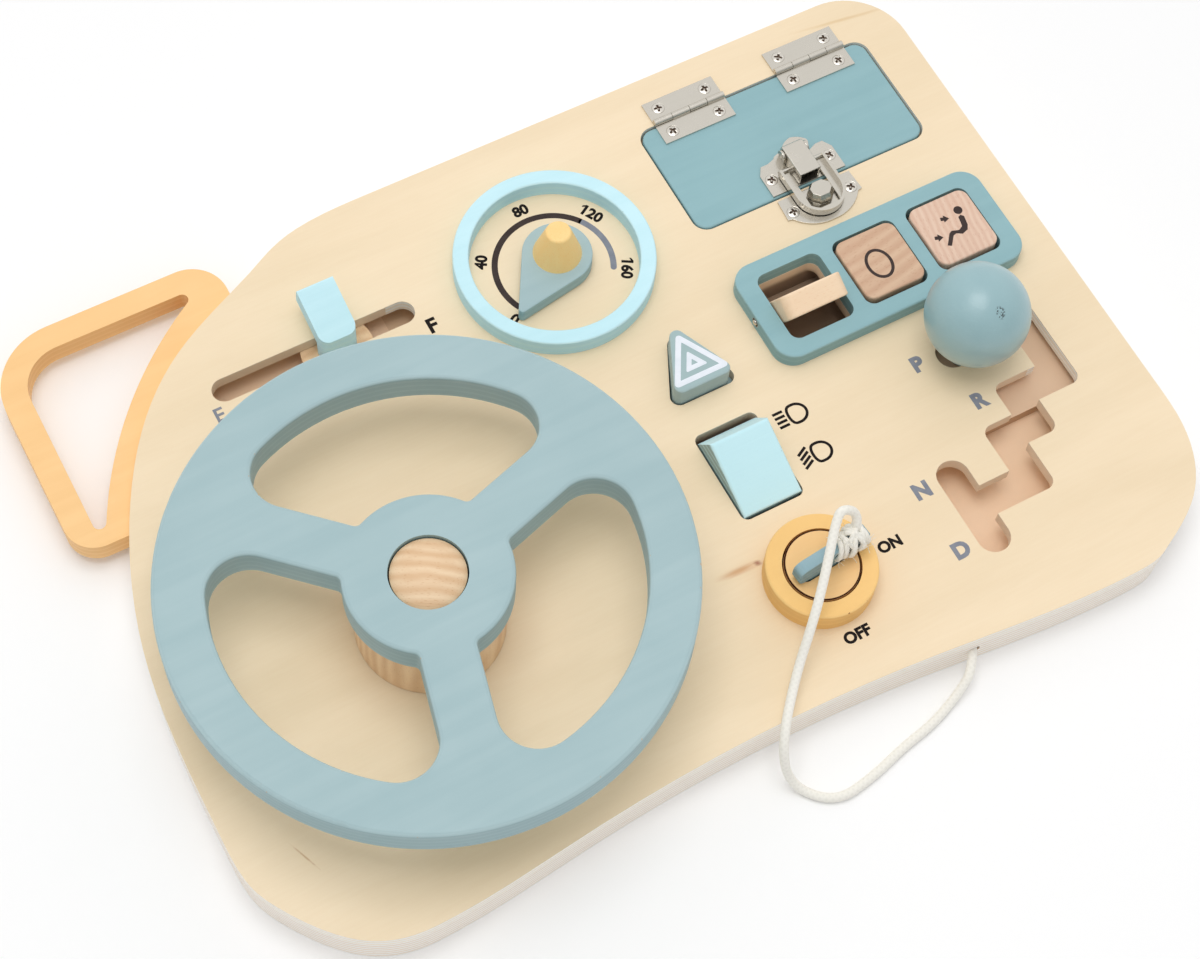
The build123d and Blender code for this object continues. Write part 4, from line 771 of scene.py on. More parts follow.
for shift, rise_share, length, width, cut in ((0.3, -0.05, 7.6, 8.4, 1.8), (0.3, 0.24, 7.6, 8.4, 1.8),
                                              (0.2, 0.34, 9.4, 10.4, 2.8), (0.3, 0.56, 9.2, 10.2, 2.8),
                                              (0.7, 1.0, 6.8, 8.4, 2.2)):
    far_x, far_y = width / 2, length / 2
    near_x, near_y = far_x - cut, far_y - cut
    corners = ((far_x, near_y), (near_x, far_y), (-near_x, far_y), (-far_x, near_y),
               (-far_x, -near_y), (-near_x, -far_y), (near_x, -far_y), (far_x, -near_y))
    rings.append([facets.verts.new((knob_x + x * MM, knob_y + (shift + y) * MM, plate_top + rise_share * knob_rise))
                  for x, y in corners])
for low_ring, high_ring in zip(rings, rings[1:]):
    bridge(facets, low_ring, high_ring)
facets.faces.new(rings[-1])
facets.faces.new(rings[0][::-1])
bmesh.ops.recalc_face_normals(facets, faces=facets.faces)
soften(facets, facet_edge, 15)
catch.from_mesh(mesh_from(facets, "catch_facets"))
catch_piece = add_piece("faceted_catch", shaded_mesh(catch, "faceted_catch", 30), nickel, "board")
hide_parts("catch_plate")
print("catch", len(catch_piece.data.polygons), "faces; knob", round(knob_rise / MM, 1), "mm high")

# %% [markdown]
# ## Cross-head screws
# Hinges and latch are held by small wood screws with a driver's cross in a domed head. One head is modelled; a
# Geometry Nodes tree then sets a copy at every place and turns each by its own angle, as no two screws stop alike.
# The cross and the rim round the head are darkened with painted shade.


# %% One screw head
def screw_head(name, radius, crown, sides=72):
    """A domed head with a cross-shaped recess, its rim at height 0; its UV map marks the painted shade of recess and
    rim.
    """
    arm_length, arm_width, slope, cross_depth, unshaded_middle = 0.60, 0.15, 0.09, 0.40, 0.22
    rim_start, rim_width, rim_depth = 0.95, 0.03, 0.08
    shank_radius, shank_depth = 0.5 * radius, 0.6 * radius
    made = bmesh.new()
    uv_layer = made.loops.layers.uv.new("UVMap")
    painted_shade = {}

    def point_at(share, step):
        """A point of the head, its place as a share of the radius; it also notes how much painted shade the place
        gets.
        """
        x, y = share * cos(tau * step / sides), share * sin(tau * step / sides)
        cross = max(clipped((arm_length - abs(along)) / slope + 0.5) * clipped((arm_width - abs(across)) / slope + 0.5)
                    for along, across in ((x, y), (y, x)))
        rim = clipped((share - rim_start) / rim_width)
        recess = cross_depth * cross * (1 - 0.5 * share) + rim_depth * rim
        point = made.verts.new((radius * x, radius * y, crown * (1 - share ** 2) - radius * recess))
        # Painted shade is strongest in the arms of the cross and round the rim, and fades out in the very middle.
        painted_shade[point] = max(cross * min(share / unshaded_middle, 1.0), rim)
        return point

    centre = point_at(0.0, 0)
    rings = [[point_at(share, k) for k in range(sides)]
             for share in [0.07 * k for k in range(1, 12)] + [0.84, 0.91, 0.95, 0.98, 1.0]]
    rings.append([made.verts.new((shank_radius * cos(tau * k / sides), shank_radius * sin(tau * k / sides),
                                  -shank_depth)) for k in range(sides)])
    for k in range(sides):
        made.faces.new((centre, rings[0][k - 1], rings[0][k]))
    for inner, outer in zip(rings, rings[1:]):
        bridge(made, inner, outer)
    made.faces.new(rings[-1])
    for side in made.faces:
        for loop in side.loops:
            loop[uv_layer].uv = (painted_shade.get(loop.vert, 1.0), 0.5)
    return shaded_mesh(made, name, 60)


small_crown, back_crown = 0.5 * MM, 0.05 * MM
small_head = screw_head("small_head", 2.6 * MM, small_crown)
print("screw head with", len(small_head.polygons), "faces")


# %% Trees that set a model on a mesh
class SettingTree(Recipe):
    """A geometry tree that sets copies of one model; inputs maps each name to its kind of socket."""

    def __init__(self, name, inputs, output):
        super().__init__(bpy.data.node_groups.new(name, "GeometryNodeTree"))
        sockets = self.tree.interface
        self.sockets = {label: sockets.new_socket(name=label, in_out="INPUT", socket_type="NodeSocket" + kind)
                        for label, kind in inputs.items()}
        sockets.new_socket(name=output, in_out="OUTPUT", socket_type="NodeSocketGeometry")
        self.given = self.tree.nodes.new("NodeGroupInput").outputs

    def put_out(self, geometry, material):
        """Give the whole its material and join it to the output."""
        clad = self.node("GeometryNodeSetMaterial", {"Geometry": geometry, "Material": material})[0]
        self.join(clad, self.tree.nodes.new("NodeGroupOutput").inputs[0])
        print("tree", self.tree.name, "inputs:", ", ".join(self.sockets))

    def run(self, name, carrier_mesh, model_label, model_mesh, settings):
        """Run the tree on a mesh with a model to repeat, and hand back the result as one mesh."""
        carrier, model = put_in_scene(name + "_carrier", carrier_mesh), put_in_scene("model", model_mesh)
        modifier = carrier.modifiers.new("tree", "NODES")
        modifier.node_group = self.tree
        for label, value in {**settings, model_label: model}.items():
            modifier[self.sockets[label].identifier] = value
        mesh = result_of(carrier, name)
        bpy.data.objects.remove(model)
        return mesh


# %% Screw tree
screws = SettingTree("set_screws", {"Places": "Geometry", "Head": "Object", "Size": "Float", "Turn seed": "Int",
                                    "Finish": "Material"}, "Screws")
spin = screws.node("FunctionNodeRandomValue", {0: (0.0, 0.0, 0.0), 1: (0.0, 0.0, tau),
                                               "Seed": screws.given["Turn seed"]}, data_type="FLOAT_VECTOR")[0]
head = screws.node("GeometryNodeObjectInfo", {"Object": screws.given["Head"]})["Geometry"]
placed = screws.node("GeometryNodeInstanceOnPoints", {"Points": screws.given["Places"], "Instance": head,
                                                      "Rotation": spin, "Scale": screws.given["Size"]})[0]
screws.put_out(screws.node("GeometryNodeRealizeInstances", {"Geometry": placed})[0], screws.given["Finish"])


# %% Set the screws
def islands(node):
    """For each separate solid of a node: its middle on the flat, its lowest and its highest point."""
    solid = merged(node)
    found, waiting = [], set(solid.verts)
    while waiting:
        front, members = [waiting.pop()], []
        while front:
            vertex = front.pop()
            members.append(vertex.co.copy())
            neighbours = {edge.other_vert(vertex) for edge in vertex.link_edges} & waiting
            waiting -= neighbours
            front += neighbours
        spans = [(min(v[axis] for v in members), max(v[axis] for v in members)) for axis in range(3)]
        found.append((sum(spans[0]) / 2, sum(spans[1]) / 2, *spans[2]))
    solid.free()
    return sorted(found)


def set_screws(name, places, head_mesh, seed, finish, body, replaced):
    """Set screws at a list of places as one piece."""
    points = bpy.data.meshes.new(name + "_places")
    points.from_pydata(places, [], [])
    mesh = screws.run(name, points, "Head", head_mesh, {"Size": 1.0, "Turn seed": seed, "Finish": finish})
    piece = add_piece(name, mesh, finish, body)
    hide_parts(*replaced)
    print(name, len(places), "screws,", len(mesh.polygons), "faces")


for name, body, members, seed in (("board_side_screws", "board", ("board_hinge_screws", "catch_screws"), 3),
                                  ("door_side_screws", "door", ("door_hinge_screws", "latch_screws"), 8)):
    places = [(x, y, high - small_crown) for member in members for x, y, low, high in islands(member)]
    set_screws(name, places, small_head, seed, nickel_screw, body, members)
back_head = screw_head("back_head", 3.5 * MM, back_crown)
back_head.transform(Matrix.Rotation(pi, 4, "X"))
set_screws("back_side_screws", [(x, y, low + back_crown) for x, y, low, high in islands("back_screws")], back_head, 5,
           zinc_screw, "board", ("back_screws",))

# %% [markdown]
# ## The braided cord
# The key hangs on a braided cotton cord that comes out of the board's lower edge, lies on the table and climbs over
# the face to the key. Its line is one smooth spline, guided by the listed control points. The braid is relief on a
# tube that follows the line: two sets of strands that wind opposite ways.

# %% Cord line
cord_diameter = 3.5 * MM
cord_route = [(39.1, -87.2, 48.5), (31.3, -96.4, 43.5), (21.1, -107.1, 37.5), (9.5, -117.7, 26.0),
              (-8.8, -138.4, 26.5), (-7.0, -146.6, 1.9), (4.6, -159.8, 1.9), (21.3, -157.6, 1.9),
              (37.2, -153.0, 1.9), (50.6, -150.6, 1.9), (64.2, -145.6, 2.6), (74.8, -140.2, 9.8),
              (83.8, -121.4, 10.0)]


def spline_points(name, route, per_segment):
    """Points read from one smooth NURBS spline with the given control points."""
    curve = bpy.data.curves.new(name, "CURVE")
    curve.dimensions = "3D"
    curve.resolution_u = per_segment
    spline = curve.splines.new("NURBS")
    spline.points.add(len(route) - 1)
    for point, place in zip(spline.points, route):
        point.co = (*(Vector(place) * MM), 1.0)
    spline.order_u = 3
    spline.use_endpoint_u = True
    holder = put_in_scene(name, curve)
    line = bpy.data.meshes.new_from_object(holder)
    bpy.data.objects.remove(holder)
    return [vertex.co.copy() for vertex in line.vertices]


cord_line = spline_points("cord_line", cord_route, 40)


# %% Tubes, and the rod's end
def tube(name, path, radius_at, sides):
    """A closed tube whose surface is radius_at(distance, angle); its UV map is angle and distance in metres."""
    made = bmesh.new()
    uv_layer = made.loops.layers.uv.new("UVMap")
    side = (path[1] - path[0]).orthogonal().normalized()
    travelled, rings, distances = 0.0, [], []
    for index, point in enumerate(path):
        before, after = path[max(index - 1, 0)], path[min(index + 1, len(path) - 1)]
        heading = (after - before).normalized()
        side = (side - heading * side.dot(heading)).normalized()
        other = heading.cross(side)
        travelled += (point - before).length
        rings.append([made.verts.new(point + (side * cos(tau * k / sides) + other * sin(tau * k / sides))
                                     * radius_at(travelled, tau * k / sides)) for k in range(sides)])
        distances.append(travelled)
    for ring, after, low, high in zip(rings, rings[1:], distances, distances[1:]):
        for k, quad in enumerate(bridge(made, ring, after)):
            quad.smooth = True
            for loop, u, v in zip(quad.loops, (k, k + 1, k + 1, k), (low, low, high, high)):
                loop[uv_layer].uv = (u / sides, v)
    for cap in (made.faces.new(rings[0][::-1]), made.faces.new(rings[-1])):
        for edge in cap.edges:
            edge.smooth = False
    return mesh_from(made, name)


rod_end, rod_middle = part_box("tile_rod")[0].x, middle("tile_rod")
bore_shade_radius, dome_radius, dome_rise, dome_steps = 1.75 * MM, 1.25 * MM, 0.8 * MM, 8
# Painted shade: a thin black disc round the rod's end stands in for the dark bore that the end sits in; a small nickel
# dome sits in front of it.
for name, material, steps_out, radius_at in (
        ("rod_rim", black_ink, (-0.02 * MM, 0.02 * MM, 0.05 * MM), lambda distance, angle: bore_shade_radius),
        ("rod_dome", nickel, [dome_rise * sin(pi / 2 * k / dome_steps) for k in range(dome_steps + 1)],
         lambda distance, angle: dome_radius * max(1 - (distance / dome_rise) ** 2, 0.01) ** 0.5)):
    path = [Vector((rod_end - step, rod_middle.y, rod_middle.z)) for step in steps_out]
    add_piece(name, tube(name, path, radius_at, 24), material, "board")
print("rod end at", round(rod_end / MM, 1), "mm")

# %% [markdown]
# ### Cotton
# Cotton braid is off-white, dull and slightly furry. The strands are drawn again in the colour, from the same angle
# and distance that shaped them, so that the valleys between strands carry a little painted shade.

# %% Cotton braid
half_strands, braid_pitch, braid_relief = 4, 9.0 * MM, 0.02


def braid_radius(distance, angle):
    """The cord's radius at a place: two sets of strands stand out, winding opposite ways."""
    around, along = half_strands * angle, tau * distance / braid_pitch * half_strands
    return cord_diameter / 2 * (1 - braid_relief + braid_relief * max(cos(around + along), cos(around - along)))


braid = Finish("braided_cotton")
uv = braid.split(braid.uv)
turns = braid.times(uv["X"], tau * half_strands)
runs = braid.times(uv["Y"], tau / braid_pitch * half_strands)
strand_crests = braid.larger(braid.sum("COSINE", braid.plus(turns, runs)), braid.sum("COSINE", braid.minus(turns, runs)))
lint = braid.noise(braid.place, 1400.0, 2.0)
# Painted shade: the valleys between strands are a little darker than the crests.
cotton = braid.ready(braid.mix(braid.ramp(strand_crests, -0.4, 0.7), (240, 237, 228), (246, 243, 234)),
                     braid.ramp(lint, 0.0, 1.0, 0.75, 0.95), braid.plus(braid.times(lint, 2.0), strand_crests), 0.000012,
                     sheen_weight=0.25)
cord_mesh = tube("pull_cord_braid", cord_line, braid_radius, 24)
cord = add_piece("pull_cord_braid", cord_mesh, cotton, None)
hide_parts("pull_cord")
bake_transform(cord)
print("cord", len(cord_mesh.polygons), "faces")

# %% [markdown]
# ### The knot on the key
# The cord goes over in a loop and is wound round the key's bow. The knot is a handful of strands round the bow; loose
# cotton fibres stick out of it, and these are set by a tree, as the screws are.

# %% Fray tree
fray = SettingTree("fray", {"Knot": "Geometry", "Fibre": "Object", "Fibres per square metre": "Float",
                            "Fray seed": "Int", "Cotton": "Material"}, "Frayed knot")
knot_in, fray_seed = fray.given["Knot"], fray.given["Fray seed"]
hair = fray.node("GeometryNodeObjectInfo", {"Object": fray.given["Fibre"]})["Geometry"]
roots = fray.node("GeometryNodeDistributePointsOnFaces",
                  {"Mesh": knot_in, "Density": fray.given["Fibres per square metre"], "Seed": fray_seed})
lean = fray.node("FunctionNodeRandomValue", {0: (-1.25, -1.25, 0.0), 1: (1.25, 1.25, tau), "Seed": fray_seed},
                 data_type="FLOAT_VECTOR")[0]
aim = fray.node("FunctionNodeRotateRotation", {"Rotation": roots["Rotation"], "Rotate By": lean},
                rotation_space="LOCAL")[0]
growth = fray.node("FunctionNodeRandomValue", {2: 0.3, 3: 1.0, "Seed": fray_seed}, data_type="FLOAT")[1]
hairs = fray.node("GeometryNodeInstanceOnPoints", {"Points": roots["Points"], "Instance": hair, "Rotation": aim,
                                                   "Scale": growth})[0]
joined = fray.tree.nodes.new("GeometryNodeJoinGeometry")
for part in (fray.node("GeometryNodeRealizeInstances", {"Geometry": hairs})[0], knot_in):
    fray.join(part, joined.inputs[0])
fray.put_out(joined.outputs[0], fray.given["Cotton"])

# %% Wind the knot
key_turn = radians(6)
along_key = Vector((cos(key_turn), sin(key_turn), 0.0))
across_key = Vector((-sin(key_turn), cos(key_turn), 0.0))
upwards = Vector((0.0, 0.0, 1.0))
knot_along, knot_up = 11.6, 7.6
knot_middle = (Vector((lock.x, lock.y, top_of("ignition_barrel"))) + along_key * knot_along * MM
               + upwards * knot_up * MM)
strand_radius, twist_pitch, twist_relief, winding_steps, slant_lag = 1.05 * MM, 5 * MM, 0.07, 40, 0.9


def winding(shift, slant, phase, wide, high, lengthwise=0.0):
    """One closed turn of cord round the key's bow, all sizes in millimetres."""
    turn = []
    for k in range(winding_steps + 1):
        angle = tau * k / winding_steps + phase
        turn.append(knot_middle + (along_key * (shift + slant * sin(angle + slant_lag) + lengthwise * cos(angle))
                                   + across_key * wide * cos(angle) + upwards * high * sin(angle)) * MM)
    return turn


def twisted(distance, angle):
    """A strand's radius: three plies, twisted."""
    return strand_radius * (1 - twist_relief + twist_relief * cos(3 * angle + tau * distance / twist_pitch))


knot_shape = bmesh.new()
for turn in ((-6.4, 1.3, 0.5, 3.3, 4.2), (-4.3, 1.0, 0.0, 3.6, 4.6), (-2.6, -1.6, 0.7, 4.2, 5.0),
             (-0.6, 1.8, 1.9, 4.6, 5.3, 0.4), (1.2, -1.4, 2.6, 4.4, 5.4, -0.4), (2.9, 1.5, 0.4, 4.3, 5.1),
             (4.5, -0.8, 1.2, 3.7, 4.6), (0.2, 0.6, 0.0, 2.4, 5.9, 3.6), (0.6, -0.9, 0.8, 3.3, 5.8, -3.2)):
    knot_shape.from_mesh(tube("strand", winding(*turn), twisted, 10))
strands = bpy.data.meshes.new("key_knot_strands")
knot_shape.to_mesh(strands)
knot_shape.free()
fibre_length, fibre_radius = 3.4, 0.11 * MM
fibre_line = [Vector((0.45 * sin(2.2 * t), 0.35 * t * t, fibre_length * t)) * MM for t in (0.0, 0.25, 0.5, 0.75, 1.0)]
fibre_mesh = tube("loose_fibre", fibre_line, lambda distance, angle: fibre_radius, 3)
knot_mesh = fray.run("key_knot_frayed", strands, "Fibre", fibre_mesh,
                     {"Fibres per square metre": 120000.0, "Fray seed": 4, "Cotton": cotton})
knot = add_piece("key_knot_frayed", knot_mesh, cotton, "key")
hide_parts("key_knot")
cord_end = Vector(cord_route[0])
cord_heading = (cord_end - Vector(cord_route[1])).normalized()
straight_start = 9.0
loop_route = [cord_end, cord_end + cord_heading * straight_start, (47.5, -79.6, 53.6), (53.0, -80.6, 48.5),
              (52.6, -84.0, 43.5), (51.0, -85.6, 38.5)]
loop_line = spline_points("loop_line", loop_route, 16)
loop_mesh = tube("key_loop_braid", loop_line, braid_radius, 24)
key_loop = add_piece("key_loop_braid", loop_mesh, cotton, None)
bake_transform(key_loop)
print("knot", len(knot_mesh.polygons), "faces; loop", len(loop_mesh.polygons), "faces")

# %% [markdown]
# ## Light and floor
# Catalogue light is a big bright dome: the ceiling glows, most of all above and behind the toy, and the side of the
# camera stays dimmer. That is the world, with a strength that follows the direction. One soft window, nearly straight
# above the board, reaches into the wheel and gives the ball its highlight. The camera sees plain white, and
# reflections see a white that fades a little towards the horizon.

# %% World, lamp and floor
world = bpy.data.worlds.new("studio")
world.use_nodes = True
bpy.context.scene.world = world
sky = Recipe(world.node_tree)
background = world.node_tree.nodes["Background"].inputs
background["Color"].default_value = (1.0, 1.0, 1.0, 1.0)
rays = sky.node("ShaderNodeLightPath")
camera_ray = rays["Is Camera Ray"]
seen = sky.larger(camera_ray, sky.larger(rays["Is Glossy Ray"], rays["Is Transmission Ray"]))
dome_axis = Vector((0.15, 0.42, 0.88)).normalized()
dome_floor, dome_gain = 0.57, 0.50
towards = sky.vector("DOT_PRODUCT", sky.node("ShaderNodeTexCoord")["Generated"], dome_axis)["Value"]
lobe = sky.sum("POWER", sky.larger(towards, 0.0), 3.0)
glow = sky.plus(sky.times(lobe, dome_gain), dome_floor)
mirrored = sky.ramp(towards, -0.2, 0.7, 0.5, 1.0)
shown = sky.larger(sky.times(seen, mirrored), camera_ray)
sky.join(sky.plus(sky.times(sky.minus(1.0, seen), glow), shown), background["Strength"])
lamp = bpy.data.lights.new("window_softbox", "AREA")
lamp.shape, lamp.size, lamp.energy = "SQUARE", 0.8, 6.6
window = put_in_scene("window_softbox", lamp)
window.location = (-0.08, 0.06, 1.45)
window.rotation_euler = (-window.location).to_track_quat("-Z", "Y").to_euler()
floor_mesh = bpy.data.meshes.new("studio_floor")
reach = 3.0
floor_mesh.from_pydata([(-reach, -reach, 0), (reach, -reach, 0), (reach, reach, 0), (-reach, reach, 0)], [],
                       [(0, 1, 2, 3)])
floor = put_in_scene("studio_floor", floor_mesh)
paper = Finish("floor_white")
floor_tone = paper.marks(0.5)["Blotch"]
floor_mesh.materials.append(paper.ready(paper.mix(floor_tone, [0.97, 0.97, 0.97, 1.0], [0.985, 0.985, 0.985, 1.0]),
                                        0.9))
bpy.context.scene.view_settings.view_transform = "Standard"
print("studio ready")

# %% [markdown]
# ## Printing
# Letters, numbers and symbols are screen printed: ink a few hundredths of a millimetre thick on the face. Each is a
# real, very thin solid that sits just off the surface, so its shadow is too small to see and it never flickers
# through the wood.

# %% Shapes of ink
ink_lift, ink_thickness = 0.01 * MM, 0.05 * MM


def on_circle(centre, radius, angle):
    """A point on the flat at an angle in radians from a centre."""
    return (centre[0] + radius * cos(angle), centre[1] + radius * sin(angle))


def arc_points(centre, radius, start, end, count):
    """Points on an arc, angles in degrees."""
    return [on_circle(centre, radius, radians(start + (end - start) * k / (count - 1))) for k in range(count)]


def prism(made, outline, low, high):
    """Add a block over an outline between two heights; outline runs anticlockwise."""
    foot, top = ([made.verts.new((x, y, z)) for x, y in outline] for z in (low, high))
    made.faces.new(top)
    made.faces.new(foot[::-1])
    bridge(made, foot, top)


def spread(sheet, outline):
    """Add a filled shape to a sheet of ink; outline runs anticlockwise."""
    prism(sheet, outline, ink_lift, ink_lift + ink_thickness)


def band(sheet, outer, inner):
    """Add the ink between two closed outlines that have the same number of points."""
    outer_low, outer_high, inner_low, inner_high = ([sheet.verts.new((x, y, z)) for x, y in line]
                                                    for line in (outer, inner)
                                                    for z in (ink_lift, ink_lift + ink_thickness))
    for first, second in ((outer_low, outer_high), (outer_high, inner_high), (inner_high, inner_low),
                          (inner_low, outer_low)):
        bridge(sheet, first, second)


print("ink reaches", round((ink_lift + ink_thickness) / MM, 2), "mm above the face")


# %% Strokes
def offset_path(path, distance, closed):
    """The points of a path moved sideways, to its left for a positive distance."""
    moved = []
    for index, here in enumerate(path):
        before = path[index - 1] if closed or index else here
        after = path[(index + 1) % len(path)] if closed or index < len(path) - 1 else here
        first = (Vector(here) - Vector(before)).normalized()
        second = (Vector(after) - Vector(here)).normalized()
        heading = (first + second).normalized()
        stretch = distance / max(heading.dot(second if second.length else first), 0.5)
        moved.append((here[0] - heading.y * stretch, here[1] + heading.x * stretch))
    return moved


def stroke(sheet, path, width, closed=False, round_ends=True, cap_steps=8):
    """Add a line of even width to a sheet of ink; path is points on the flat, in metres."""
    left, right = (offset_path(path, side * width / 2, closed) for side in (1, -1))
    if closed:
        band(sheet, right, left)
        return
    outline = list(right)
    for centre, start, rest in ((path[-1], right[-1], left[::-1]), (path[0], left[0], [])):
        if round_ends:
            first = atan2(start[1] - centre[1], start[0] - centre[0])
            outline += [on_circle(centre, width / 2, first + pi * k / cap_steps) for k in range(1, cap_steps)]
        outline += rest
    spread(sheet, outline)


print("the left side of a level line:", offset_path([(0.0, 0.0), (1.0, 0.0)], 0.5, False))


# %% Letters
def lettering(words, cap_height, weight):
    """Words as one sheet of ink; words is a list of (text, x, y, turn in degrees), cap_height in metres."""
    sheet = bmesh.new()
    for text, x, y, turn in words:
        curve = bpy.data.curves.new("word", "FONT")
        curve.body, curve.size, curve.offset, curve.extrude, curve.resolution_u = text, 1.0, weight, 0.5, 4
        holder = put_in_scene("word", curve)
        word = bpy.data.meshes.new_from_object(holder)
        bpy.data.objects.remove(holder)
        low, high = (Vector([end(v.co[axis] for v in word.vertices) for axis in range(3)]) for end in (min, max))
        tall = high.y - low.y
        if text.startswith("1"):
            flag = bmesh.new()
            flag.from_mesh(word)
            prism(flag, [(low.x + right * tall, high.y - down * tall)
                         for right, down in ((0.06, 0.0), (-0.24, 0.22), (-0.24, 0.38), (0.06, 0.19))], low.z, high.z)
            flag.to_mesh(word)
            flag.free()
        scale = cap_height / tall
        word.transform(Matrix.Translation((x, y, ink_lift + ink_thickness / 2))
                       @ Matrix.Rotation(radians(turn), 4, "Z") @ Matrix.Diagonal((scale, scale, ink_thickness, 1.0))
                       @ Matrix.Translation(-(low + high) / 2))
        sheet.from_mesh(word)
    return sheet


def print_on(name, sheet, material, body="board", height=face):
    """Lay a sheet of ink on a surface at the given height and let it ride with a body."""
    bmesh.ops.remove_doubles(sheet, verts=sheet.verts, dist=0.0001 * MM)
    mesh = mesh_from(sheet, name)
    mesh.transform(Matrix.Translation((0.0, 0.0, height)))
    add_piece(name, mesh, material, body)
    print("printed", name)


print("letters will lie at", round(face / MM, 2), "mm")

# %% [markdown]
# ### The dial's scale
# The numbers stand on a circle, a sixth of a turn apart, with their feet towards the pointer's axle. The arc below
# them is black for the slow speeds and grey for the fast ones.

# %% Dial scale
scale_radius, scale_stroke, number_circle = 23.0 * MM, 2.4 * MM, 28.3 * MM
number_angles = {"0": 210.0, "40": 150.0, "80": 90.0, "120": 30.0, "160": -30.0}
numbers = [(text, *on_circle(dial, number_circle, radians(angle)), angle - 90.0)
           for text, angle in number_angles.items()]
print_on("dial_numbers", lettering(numbers, 4.9 * MM, 0.042), black_ink)
for name, start, end, count, round_ends, shade in (("dial_slow_arc", 207, 35, 60, False, brown_ink),
                                                   ("dial_fast_arc", 34.5, -28, 30, True, grey_ink)):
    arc = bmesh.new()
    stroke(arc, arc_points(dial, scale_radius, start, end, count), scale_stroke, round_ends=round_ends)
    print_on(name, arc, shade)

# %% [markdown]
# ### Letters at the controls
# E and F for the fuel lever, ON and OFF for the lock, P R N D for the gears, all in plain capitals. A dark ring on
# the barrel's rim stands for the seam round the lock's barrel: the cutter's char and painted shade of the gap. It is
# wider on one side, as the barrel sits a little off the middle of its hole.


# %% Control letters
def print_words(name, shade, cap_height, weight, *words, origin=(0.0, 0.0)):
    """Print level words on the face; words are (text, x, y), in millimetres from the origin."""
    places = [(text, origin[0] + x * MM, origin[1] + y * MM, 0.0) for text, x, y in words]
    print_on(name, lettering(places, cap_height * MM, weight), shade)


print_words("fuel_letter_full", black_ink, 6.6, 0.035, ("F", -39.4, 70.6))
print_words("fuel_letter_empty", grey_ink, 6.0, 0.02, ("E", -126.9, 72.0))
print_words("lock_words", black_ink, 4.8, 0.045, ("ON", 29.8, -0.9), ("OFF", 0.7, -26.0), origin=lock)
# Painted shade: a thin dark ring on the barrel's rim stands in for the shaded gap between the barrel and its ring.
seam = bmesh.new()
barrel_low, barrel_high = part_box("ignition_barrel")
seam_outside = (barrel_high.x - barrel_low.x) / 2 - 0.02 * MM
seam_width, inside_centre = 0.50 * MM, (lock.x + 0.20 * MM, lock.y + 0.06 * MM)
band(seam, arc_points(lock, seam_outside, 0, 355, 72),
     arc_points(inside_centre, seam_outside - seam_width, 0, 355, 72))
print_on("lock_seam", seam, seam_char_and_shade, "lock", top_of("ignition_barrel"))
print_words("gear_letters", grey_ink, 6.9, 0.055, ("P", 117.4, -28.2), ("R", 130.4, -52.2), ("N", 90.2, -74.6),
            ("D", 90.4, -101.9))

# %% [markdown]
# ### Lamp symbols
# A headlamp seen from the side: a rounded shape flat on its left, and rays. High beam rays run level, low beam rays
# fall away.

# %% Headlamp symbols
lamp_stroke, curve_steps = 1.1 * MM, 48


def headlamp(sheet, x, y, slope):
    """One lamp symbol; slope is how much each ray falls over its length, in metres."""
    bulb = [(x + (4.3 * cos(a) if cos(a) > 0 else -3.2 * abs(cos(a)) ** 0.5) * MM, y + 3.9 * MM * sin(a))
            for a in (tau * (k + 0.5) / curve_steps for k in range(curve_steps))]
    stroke(sheet, bulb, lamp_stroke, closed=True)
    for row in range(4):
        ray_y = y + (3.1 - 2.0 * row) * MM + slope / 2
        stroke(sheet, [(x - 4.4 * MM, ray_y), (x - 8.6 * MM, ray_y - slope)], lamp_stroke, round_ends=False)


lamps = bmesh.new()
for y, slope in ((-25.3, 0.0), (-43.4, 2.2)):
    headlamp(lamps, 65.0 * MM, y * MM, slope * MM)
print_on("lamp_symbols", lamps, black_ink)

# %% [markdown]
# ### Hazard triangles
# The button carries a white triangle outline and a small white triangle inside it, printed on its top.


# %% Hazard print
def triangle_path(centre, size, corner, steps=6):
    """A triangle that points to the top of the board, with rounded corners."""
    points = []
    for k in range(3):
        direction = radians(90 + 120 * k)
        pivot = on_circle(centre, size - 2 * corner, direction)
        points += [on_circle(pivot, corner, direction - pi / 3 + 2 * pi / 3 * s / (steps - 1)) for s in range(steps)]
    return points


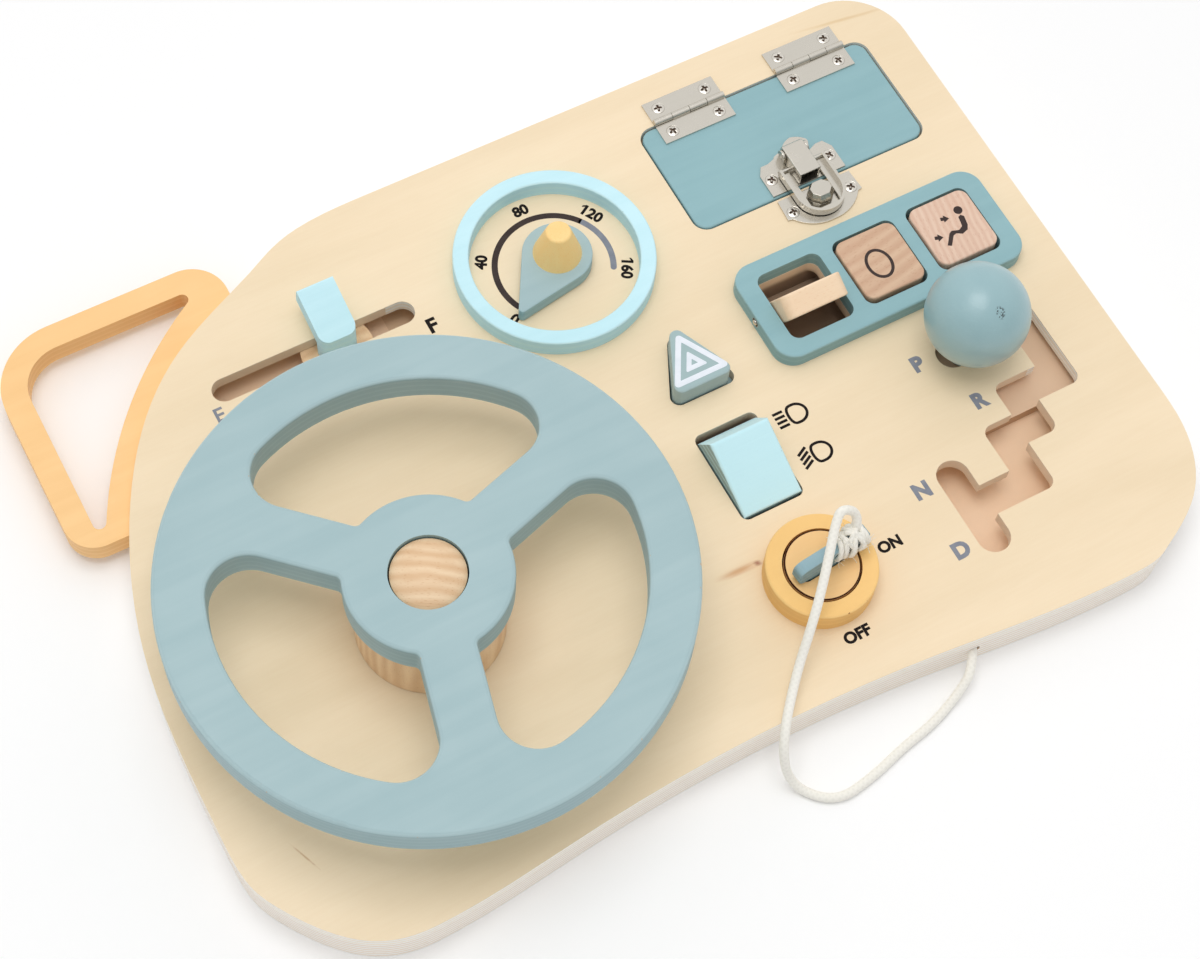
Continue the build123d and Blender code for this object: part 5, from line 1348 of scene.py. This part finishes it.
button_high = top_of("hazard_button")
button_top = [vertex.co for vertex in nodes["hazard_button"].data.vertices if vertex.co.z > button_high - 0.1 * MM]
(left, right), (foot, peak) = ([end(v[axis] for v in button_top) for end in (min, max)] for axis in (0, 1))
centre_share = 0.37
button_centre = ((left + right) / 2, foot + (peak - foot) * centre_share)
triangles = bmesh.new()
for outer, inner in (((14.0, 1.3), (9.6, 0.2)), ((5.4, 0.5), (1.6, 0.1))):
    band(triangles, *(triangle_path(button_centre, size * MM, corner * MM) for size, corner in (outer, inner)))
print_on("hazard_triangles", triangles, white_ink, "button", button_high)

# %% [markdown]
# ### Tile pictures
# The middle tile shows a plain ring, the right one a seated figure with two air arrows, which is the usual sign for
# a car's fan. Both are generic road-vehicle signs.

# %% Tile pictures
ring_tile, seat_tile = middle("tile_2"), middle("tile_3")
tile_top = top_of("tile_2")
oval = bmesh.new()
half_wide, half_high, shift_x, shift_y, oval_stroke = 4.8, 6.2, -1.1, -1.2, 1.25 * MM
stroke(oval, [(ring_tile.x + (shift_x + half_wide * cos(a)) * MM, ring_tile.y + (shift_y + half_high * sin(a)) * MM)
              for a in (tau * k / curve_steps for k in range(curve_steps))], oval_stroke, closed=True)
print_on("ring_picture", oval, brown_ink, "middle_tile", tile_top)
seat = bmesh.new()


def spread_on_seat(outline):
    """Add a shape to the right tile's picture, in millimetres from the tile's middle."""
    spread(seat, [(seat_tile.x + x * MM, seat_tile.y + y * MM) for x, y in outline])


spread_on_seat(arc_points((5.7, 5.7), 1.8, 0, 345, 24))
spread_on_seat([(4.1, 2.9), (3.6, 0.3), (3.2, -1.3), (1.2, -2.3), (-1.7, -1.3), (-3.0, -1.9), (-6.6, -6.3),
                (-5.2, -7.2), (-2.1, -3.5), (-0.6, -3.1), (1.6, -4.4), (4.3, -3.6), (5.6, -1.6), (6.4, 2.3),
                (5.4, 3.4)])
arrow = [Matrix.Rotation(radians(-18), 2) @ Vector(point) for point in (
    (0.0, -0.75), (1.3, -0.75), (1.3, -1.65), (3.5, 0.0), (1.3, 1.65), (1.3, 0.75), (0.0, 0.75))]
for tail in ((-2.8, 5.1), (-9.4, -1.3)):
    spread_on_seat([Vector(tail) + point for point in arrow])
print_on("fan_picture", seat, brown_ink, "right_tile", tile_top)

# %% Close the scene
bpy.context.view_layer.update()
